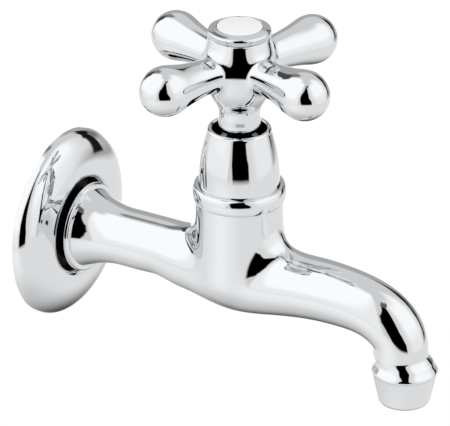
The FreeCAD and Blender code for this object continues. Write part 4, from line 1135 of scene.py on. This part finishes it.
# Main pieces and what they stand for
PIECES = (
    (casting, "root", "tap_body", "chrome_casting", BUFFED),
    (flange, "root", "wall_flange", "chrome_sheet", SPUN_FLANGE),
    (cover, "root", "bell_cover", "chrome_sheet", TURNED_COVER),
    (handle, "handle", "cross_handle", "chrome_handle", BUFFED),
    (cap, "handle", "index_cap", "chrome_handle", TURNED_CAP),
    (disc, "handle", "index_disc", "white_disc", ENAMEL),
    (nozzle, "root", "aerator_housing", "chrome_nozzle", TURNED_NOZZLE),
)

made = {}
for build, body, node, slot, material in PIECES:
    piece = build()
    piece.data.materials.append(material)
    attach(piece, body)
    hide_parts(node)
    made[node] = piece

inner(made["tap_body"], BORE_BRASS, is_bore)
inner(made["wall_flange"], UNBUFFED, is_back)
# The flange's well is painted near black as shade
inner(made["wall_flange"], SHADE_DARK_STEEL, is_well)
# The cover's inside over the headwork is painted near black as shade
inner(made["bell_cover"], SHADE_BLACK_BRASS, is_under_cover)

for node, material in CARRIED.items():
    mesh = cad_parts[node].data
    mesh.materials.clear()
    mesh.materials.append(material)


def node_group(name, sizes):
    """A geometry tree with a named input for each size, and the sockets that carry them."""
    tree = bpy.data.node_groups.new(name, "GeometryNodeTree")
    tree.interface.new_socket("Geometry", in_out="INPUT", socket_type="NodeSocketGeometry")
    tree.interface.new_socket("Geometry", in_out="OUTPUT", socket_type="NodeSocketGeometry")
    for size, (kind, _) in sizes.items():
        tree.interface.new_socket(size, in_out="INPUT", socket_type=kind)
    return tree, add(tree, "NodeGroupInput")


def grown(name, tree, sizes):
    """Run a geometry tree with its sizes, and keep the result as a plain mesh object."""
    piece = linked(name, bpy.data.meshes.new(name + "_seed"))
    maker = piece.modifiers.new(name, "NODES")
    maker.node_group = tree
    for socket in tree.interface.items_tree:
        if socket.in_out == "INPUT" and socket.name in sizes:
            maker[socket.identifier] = sizes[socket.name][1]
    result = evaluated(piece)
    result.name = name
    piece.modifiers.remove(maker)
    piece.data = result
    return piece


INT = "NodeSocketInt"
FLOAT = "NodeSocketFloat"


def knurls():
    """Upright ribs round the cap's band."""
    rib_r = math.pi * CAP_R / KNURL_COUNT * KNURL_FULLNESS
    rib_foot = HUB_TOP_Z + CAP_SHOULDER + KNURL_LIFT
    rib_top = HUB_TOP_Z + CAP_BAND_H - CAP_RIM_H + KNURL_SINK
    sizes = {
        "Count": (INT, KNURL_COUNT), "Circle Radius": (FLOAT, (CAP_R - rib_r) * MM),
        "Rib Radius": (FLOAT, rib_r * MM), "Rib Height": (FLOAT, (rib_top - rib_foot) * MM),
        "Centre X": (FLOAT, VALVE_X * MM), "Middle Z": (FLOAT, (rib_top + rib_foot) / 2 * MM)}
    tree, given = node_group("knurled_band", sizes)
    spots = add(tree, "GeometryNodeMeshCircle", {
        "Vertices": given["Count"], "Radius": given["Circle Radius"]})[0]
    rib = add(tree, "GeometryNodeMeshCylinder", {
        "Vertices": KNURL_SIDES, "Radius": given["Rib Radius"], "Depth": given["Rib Height"]})["Mesh"]
    ribs = add(tree, "GeometryNodeInstanceOnPoints", {"Points": spots, "Instance": rib})[0]
    middle = add(tree, "ShaderNodeCombineXYZ", {"X": given["Centre X"], "Z": given["Middle Z"]})[0]
    placed = add(tree, "GeometryNodeTransform", {"Geometry": ribs, "Translation": middle})[0]
    plain = add(tree, "GeometryNodeRealizeInstances", {"Geometry": placed})[0]
    dressed = add(tree, "GeometryNodeSetMaterial", {"Geometry": plain, "Material": BUFFED})[0]
    add(tree, "NodeGroupOutput", {"Geometry": dressed})
    return grown("cap_knurls", tree, sizes)


def thread():
    """The inlet's thread as one ridge wound on its core."""
    turns = (-THREAD_LAND - TAIL_X - THREAD_PITCH) / THREAD_PITCH
    root_r = (THREAD_R - THREAD_DEPTH - THREAD_SINK) * MM
    depth = THREAD_R * MM - root_r
    root_half = THREAD_ROOT_HALF * MM
    crest_half = THREAD_CREST_HALF * MM
    sizes = {
        "Turns": (FLOAT, turns), "Root Radius": (FLOAT, root_r),
        "Length": (FLOAT, turns * THREAD_PITCH * MM),
        "Start X": (FLOAT, (TAIL_X + THREAD_PITCH / 2) * MM)}
    tree, given = node_group("inlet_thread", sizes)
    line = add(tree, "GeometryNodeCurveSpiral", {
        "Resolution": THREAD_STEPS, "Rotations": given["Turns"], "Start Radius": given["Root Radius"],
        "End Radius": given["Root Radius"], "Height": given["Length"]})[0]
    level = add(tree, "GeometryNodeSetCurveNormal", {"Curve": line}, mode="Z_UP")[0]
    ridge = add(tree, "GeometryNodeCurvePrimitiveQuadrilateral", {
        "Point 1": (0, -root_half, 0), "Point 2": (-depth, -crest_half, 0),
        "Point 3": (-depth, crest_half, 0), "Point 4": (0, root_half, 0)}, mode="POINTS")[0]
    swept = add(tree, "GeometryNodeCurveToMesh", {
        "Curve": level, "Profile Curve": ridge, "Fill Caps": True})[0]
    start = add(tree, "ShaderNodeCombineXYZ", {"X": given["Start X"]})[0]
    laid = add(tree, "GeometryNodeTransform", {
        "Geometry": swept, "Translation": start, "Rotation": (0, math.pi / 2, 0)})[0]
    plain = add(tree, "GeometryNodeRealizeInstances", {"Geometry": laid})[0]
    dressed = add(tree, "GeometryNodeSetMaterial", {"Geometry": plain, "Material": UNBUFFED})[0]
    add(tree, "NodeGroupOutput", {"Geometry": dressed})
    return grown("inlet_thread", tree, sizes)


for piece, body, slot in ((knurls(), "handle", "chrome_handle"), (thread(), "root", "chrome_casting")):
    piece.data.shade_smooth()
    piece.data.set_sharp_from_angle(angle=math.radians(SHARP_RIB))
    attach(piece, body)

# Camera at the photograph's viewing angle
CAMERA_AZIMUTH = 30.69
CAMERA_ELEVATION = 26.09
CAMERA_DISTANCE = 1637.38
CAMERA_TARGET = (68.66, 0.0, 19.72)
FRAME_WIDTH = 450
FOCAL_PX = 4584.7
SENSOR_WIDTH = 36.0

# Studio: a round white table below, and panels of light at great distance all round
TABLE_DROP = 400.0
TABLE_R = 1700.0
TABLE_SIDES = 96
TABLE_FADE = 400.0        # breadth over which its rim fades out
TABLE_WHITE = 0.97        # share of it that the camera sees as plain white
TABLE_GLOW = 0.88         # how bright it lies in the chrome
# Soft round spots of painted shadow, shade and sheen on it: what each is, change of glow, place of its
# middle, radius
TABLE_SPOTS = (
    ("the tap's shadow, which falls behind it", -0.64, (-60.0, 330.0), 400.0),
    ("sheen of the left softbox in front", 0.18, (-220.0, -800.0), 900.0),
    ("sheen of the lit backdrop far behind", 0.28, (-420.0, 880.0), 520.0),
    ("painted shade close under the tap", -0.3, (20.0, 80.0), 520.0),
)
CEILING = 0.75
# Each panel is a field between two heights, with a left and a right edge at each height.
# Directions are in degrees: height above the horizon, and turn from the camera to the right.
# name, glow, low, high, left edge at low and high, right edge at low and high, edge softness
PANELS = (
    ("back wall", 0.46, -7, 32, (135, 140), (225, 220), 12),
    ("white backdrop", 1.15, -30, -7, (152, 154), (208, 206), 8),
    ("left softbox", 1.03, -24, 80, (-132, -140), (-36, -10), 5),
    ("left softbox core", 1.20, 0, 78, (-134, -140), (-48, -14), 14),
    ("left softbox foot", 0.74, -26, -10, (-142, -140), (-104, -112), 8),
    ("right softbox", 0.84, -24, 70, (12, 12), (119, 134), 3),
    ("right softbox middle", 1.00, -24, 14, (48, 42), (104, 110), 26),
    ("right softbox core", 1.17, 8, 66, (38, 31), (106, 126), 26),
    ("dim corner of the room", 0.44, -34, -6, (112, 112), (152, 152), 16),
    ("inside the right arch", 0.22, 0, 20, (132, 134), (151, 157), 8),
    ("right arch leg", 0.01, -12, 17, (118, 126), (129, 138), 3),
    ("right arch top", 0.01, 12, 29, (122, 140), (146, 164), 4),
    ("left arch top", 0.24, 30, 57, (198, 196), (222, 214), 8),
    ("left arch leg", 0.07, 6, 33, (208, 206), (226, 227), 4),
    ("stand of the lens", 0.0, -26, -2, (-17, -22.5), (28, 26), 3),
    ("foot of the gap", 0.0, -5, 13, (-22, -23.5), (26, 16), 3),
    ("gap between the softboxes", 0.0, 10, 30, (-24, -19.5), (16, 14), 3),
    ("gap higher up", 0.0, 27, 46, (-20, -7.5), (14, 13.5), 3),
    ("gap at its top", 0.0, 43, 62, (-8.5, 1), (13.5, 14.5), 3),
    ("slot over the right softbox", 0.14, 57, 69, (-4, 12), (12, 46), 4),
)


def camera():
    """Camera where the photograph's was, with its lens."""
    data = bpy.data.cameras.new("camera")
    data.sensor_width = SENSOR_WIDTH
    data.lens = FOCAL_PX / FRAME_WIDTH * SENSOR_WIDTH
    piece = linked("camera", data)
    turn = math.radians(CAMERA_AZIMUTH)
    rise = math.radians(CAMERA_ELEVATION)
    back = Vector((math.sin(turn) * math.cos(rise), -math.cos(turn) * math.cos(rise), math.sin(rise)))
    piece.location = (Vector(CAMERA_TARGET) + back * CAMERA_DISTANCE) * MM
    piece.rotation_euler = back.to_track_quat("Z", "Y").to_euler()
    bpy.context.scene.camera = piece


def table_glow(tree, spot):
    """How bright each place on the table lies in the chrome, with its soft spots of painted shadow, shade
    and sheen.
    """
    glow = TABLE_GLOW
    for _, change, (x, y), radius in TABLE_SPOTS:
        middle = (x * MM, y * MM, -TABLE_DROP * MM)
        away = add(tree, "ShaderNodeVectorMath", {0: spot, 1: middle}, operation="DISTANCE")["Value"]
        share = add(tree, RANGE, {
            "Value": away, "From Max": radius * MM, "To Min": 1.0, "To Max": 0.0},
            interpolation_type="SMOOTHSTEP")[0]
        glow = add(tree, MATH, {0: share, 1: change, 2: glow}, operation="MULTIPLY_ADD")[0]
    return glow


def white_laminate():
    """Smooth white table top: plain white to the camera, with a share of the light that falls on it."""
    material, tree, spot = finish("smooth_white_laminate")
    rays = add(tree, "ShaderNodeLightPath")
    foot = (VALVE_X * MM, 0, -TABLE_DROP * MM)
    away = add(tree, "ShaderNodeVectorMath", {0: spot, 1: foot}, operation="DISTANCE")["Value"]
    mirrored = add(tree, MATH, {
        0: rays["Is Glossy Ray"], 1: rays["Is Transmission Ray"]}, operation="MAXIMUM")[0]
    seen = add(tree, MATH, {0: rays["Is Camera Ray"], 1: TABLE_WHITE}, operation="MULTIPLY")[0]
    lying = table_glow(tree, spot)
    strength = add(tree, MATH, {0: rays["Is Camera Ray"], 1: lying}, operation="MAXIMUM")[0]
    share = add(tree, MATH, {0: mirrored, 1: seen}, operation="MAXIMUM")[0]
    top = add(tree, "ShaderNodeBsdfDiffuse", {"Color": colour("#F6F6F6")})[0]
    glow = add(tree, "ShaderNodeEmission", {"Color": colour("#FFFFFF"), "Strength": strength})[0]
    lit = add(tree, "ShaderNodeMixShader", {0: share, 1: top, 2: glow})[0]
    clear = add(tree, "ShaderNodeBsdfTransparent")[0]
    under = add(tree, "ShaderNodeNewGeometry")["Backfacing"]
    past = add(tree, RANGE, {
        "Value": away, "From Min": (TABLE_R - TABLE_FADE) * MM, "From Max": TABLE_R * MM})[0]
    gone = add(tree, MATH, {0: under, 1: past}, operation="MAXIMUM")[0]
    surface = add(tree, "ShaderNodeMixShader", {0: gone, 1: lit, 2: clear})[0]
    add(tree, OUTPUT, {"Surface": surface})
    return material


def table():
    """Round table that stays out of the object."""
    bm = bmesh.new()
    bmesh.ops.create_circle(bm, cap_ends=True, segments=TABLE_SIDES, radius=TABLE_R * MM)
    bmesh.ops.translate(bm, verts=bm.verts, vec=(VALVE_X * MM, 0, -TABLE_DROP * MM))
    piece = mesh_object("table", bm)
    if piece.data.polygons[0].normal.z < 0:
        piece.data.flip_normals()
    piece.data.materials.append(white_laminate())


def panel_share(tree, turn, rise, panel):
    """How far a direction lies inside a panel, from 0 to 1 across its soft edge."""
    _, _, low, high, left, right, soft = panel
    share = 1.0
    for edge, sign in ((left, 1.0), (right, -1.0)):
        line = add(tree, RANGE, {
            "Value": rise, "From Min": low, "From Max": high, "To Min": edge[0], "To Max": edge[1]})[0]
        past = add(tree, MATH, {0: turn, 1: line}, operation="SUBTRACT")[0]
        inside = add(tree, RANGE, {
            "Value": past, "From Min": -sign * soft / 2, "From Max": sign * soft / 2},
            interpolation_type="SMOOTHSTEP")[0]
        share = add(tree, MATH, {0: inside, 1: share}, operation="MULTIPLY")[0]
    for start, end in ((low - soft / 2, low + soft / 2), (high + soft / 2, high - soft / 2)):
        inside = add(tree, RANGE, {
            "Value": rise, "From Min": start, "From Max": end}, interpolation_type="SMOOTHSTEP")[0]
        share = add(tree, MATH, {0: inside, 1: share}, operation="MULTIPLY")[0]
    return share


def studio():
    """White to the camera and plain light to matte surfaces. To all other rays it is the panels
    of light round the tap."""
    world = bpy.data.worlds.new("studio")
    bpy.context.scene.world = world
    tree = clear_tree(world)
    ways = add(tree, "ShaderNodeTexCoord")["Generated"]
    facing = add(tree, "ShaderNodeMapping", {
        "Vector": ways, "Rotation": (0, 0, -math.radians(CAMERA_AZIMUTH))})[0]
    parts = add(tree, "ShaderNodeSeparateXYZ", {0: facing})
    slope = add(tree, MATH, {0: parts["Z"]}, operation="ARCSINE")[0]
    rise = add(tree, MATH, {0: slope}, operation="DEGREES")[0]
    ahead = add(tree, MATH, {0: parts["Y"], 1: -1.0}, operation="MULTIPLY")[0]
    round_about = add(tree, MATH, {0: parts["X"], 1: ahead}, operation="ARCTAN2")[0]
    front = add(tree, MATH, {0: round_about}, operation="DEGREES")[0]
    rear = add(tree, MATH, {0: front, 1: 360.0}, operation="FLOORED_MODULO")[0]
    glow = CEILING
    for panel in PANELS:
        turn = rear if max(panel[5]) > 180 else front
        share = panel_share(tree, turn, rise, panel)
        step = add(tree, MATH, {0: panel[1], 1: glow}, operation="SUBTRACT")[0]
        glow = add(tree, MATH, {0: share, 1: step, 2: glow}, operation="MULTIPLY_ADD")[0]
    rays = add(tree, "ShaderNodeLightPath")
    plain = add(tree, MATH, {0: rays["Is Camera Ray"], 1: rays["Is Diffuse Ray"]}, operation="MAXIMUM")[0]
    strength = add(tree, MATH, {0: plain, 1: glow}, operation="MAXIMUM")[0]
    background = add(tree, "ShaderNodeBackground", {"Color": colour("#FFFFFF"), "Strength": strength})
    add(tree, "ShaderNodeOutputWorld", {"Surface": background[0]})


camera()
table()
studio()
bpy.context.scene.view_settings.view_transform = "Standard"
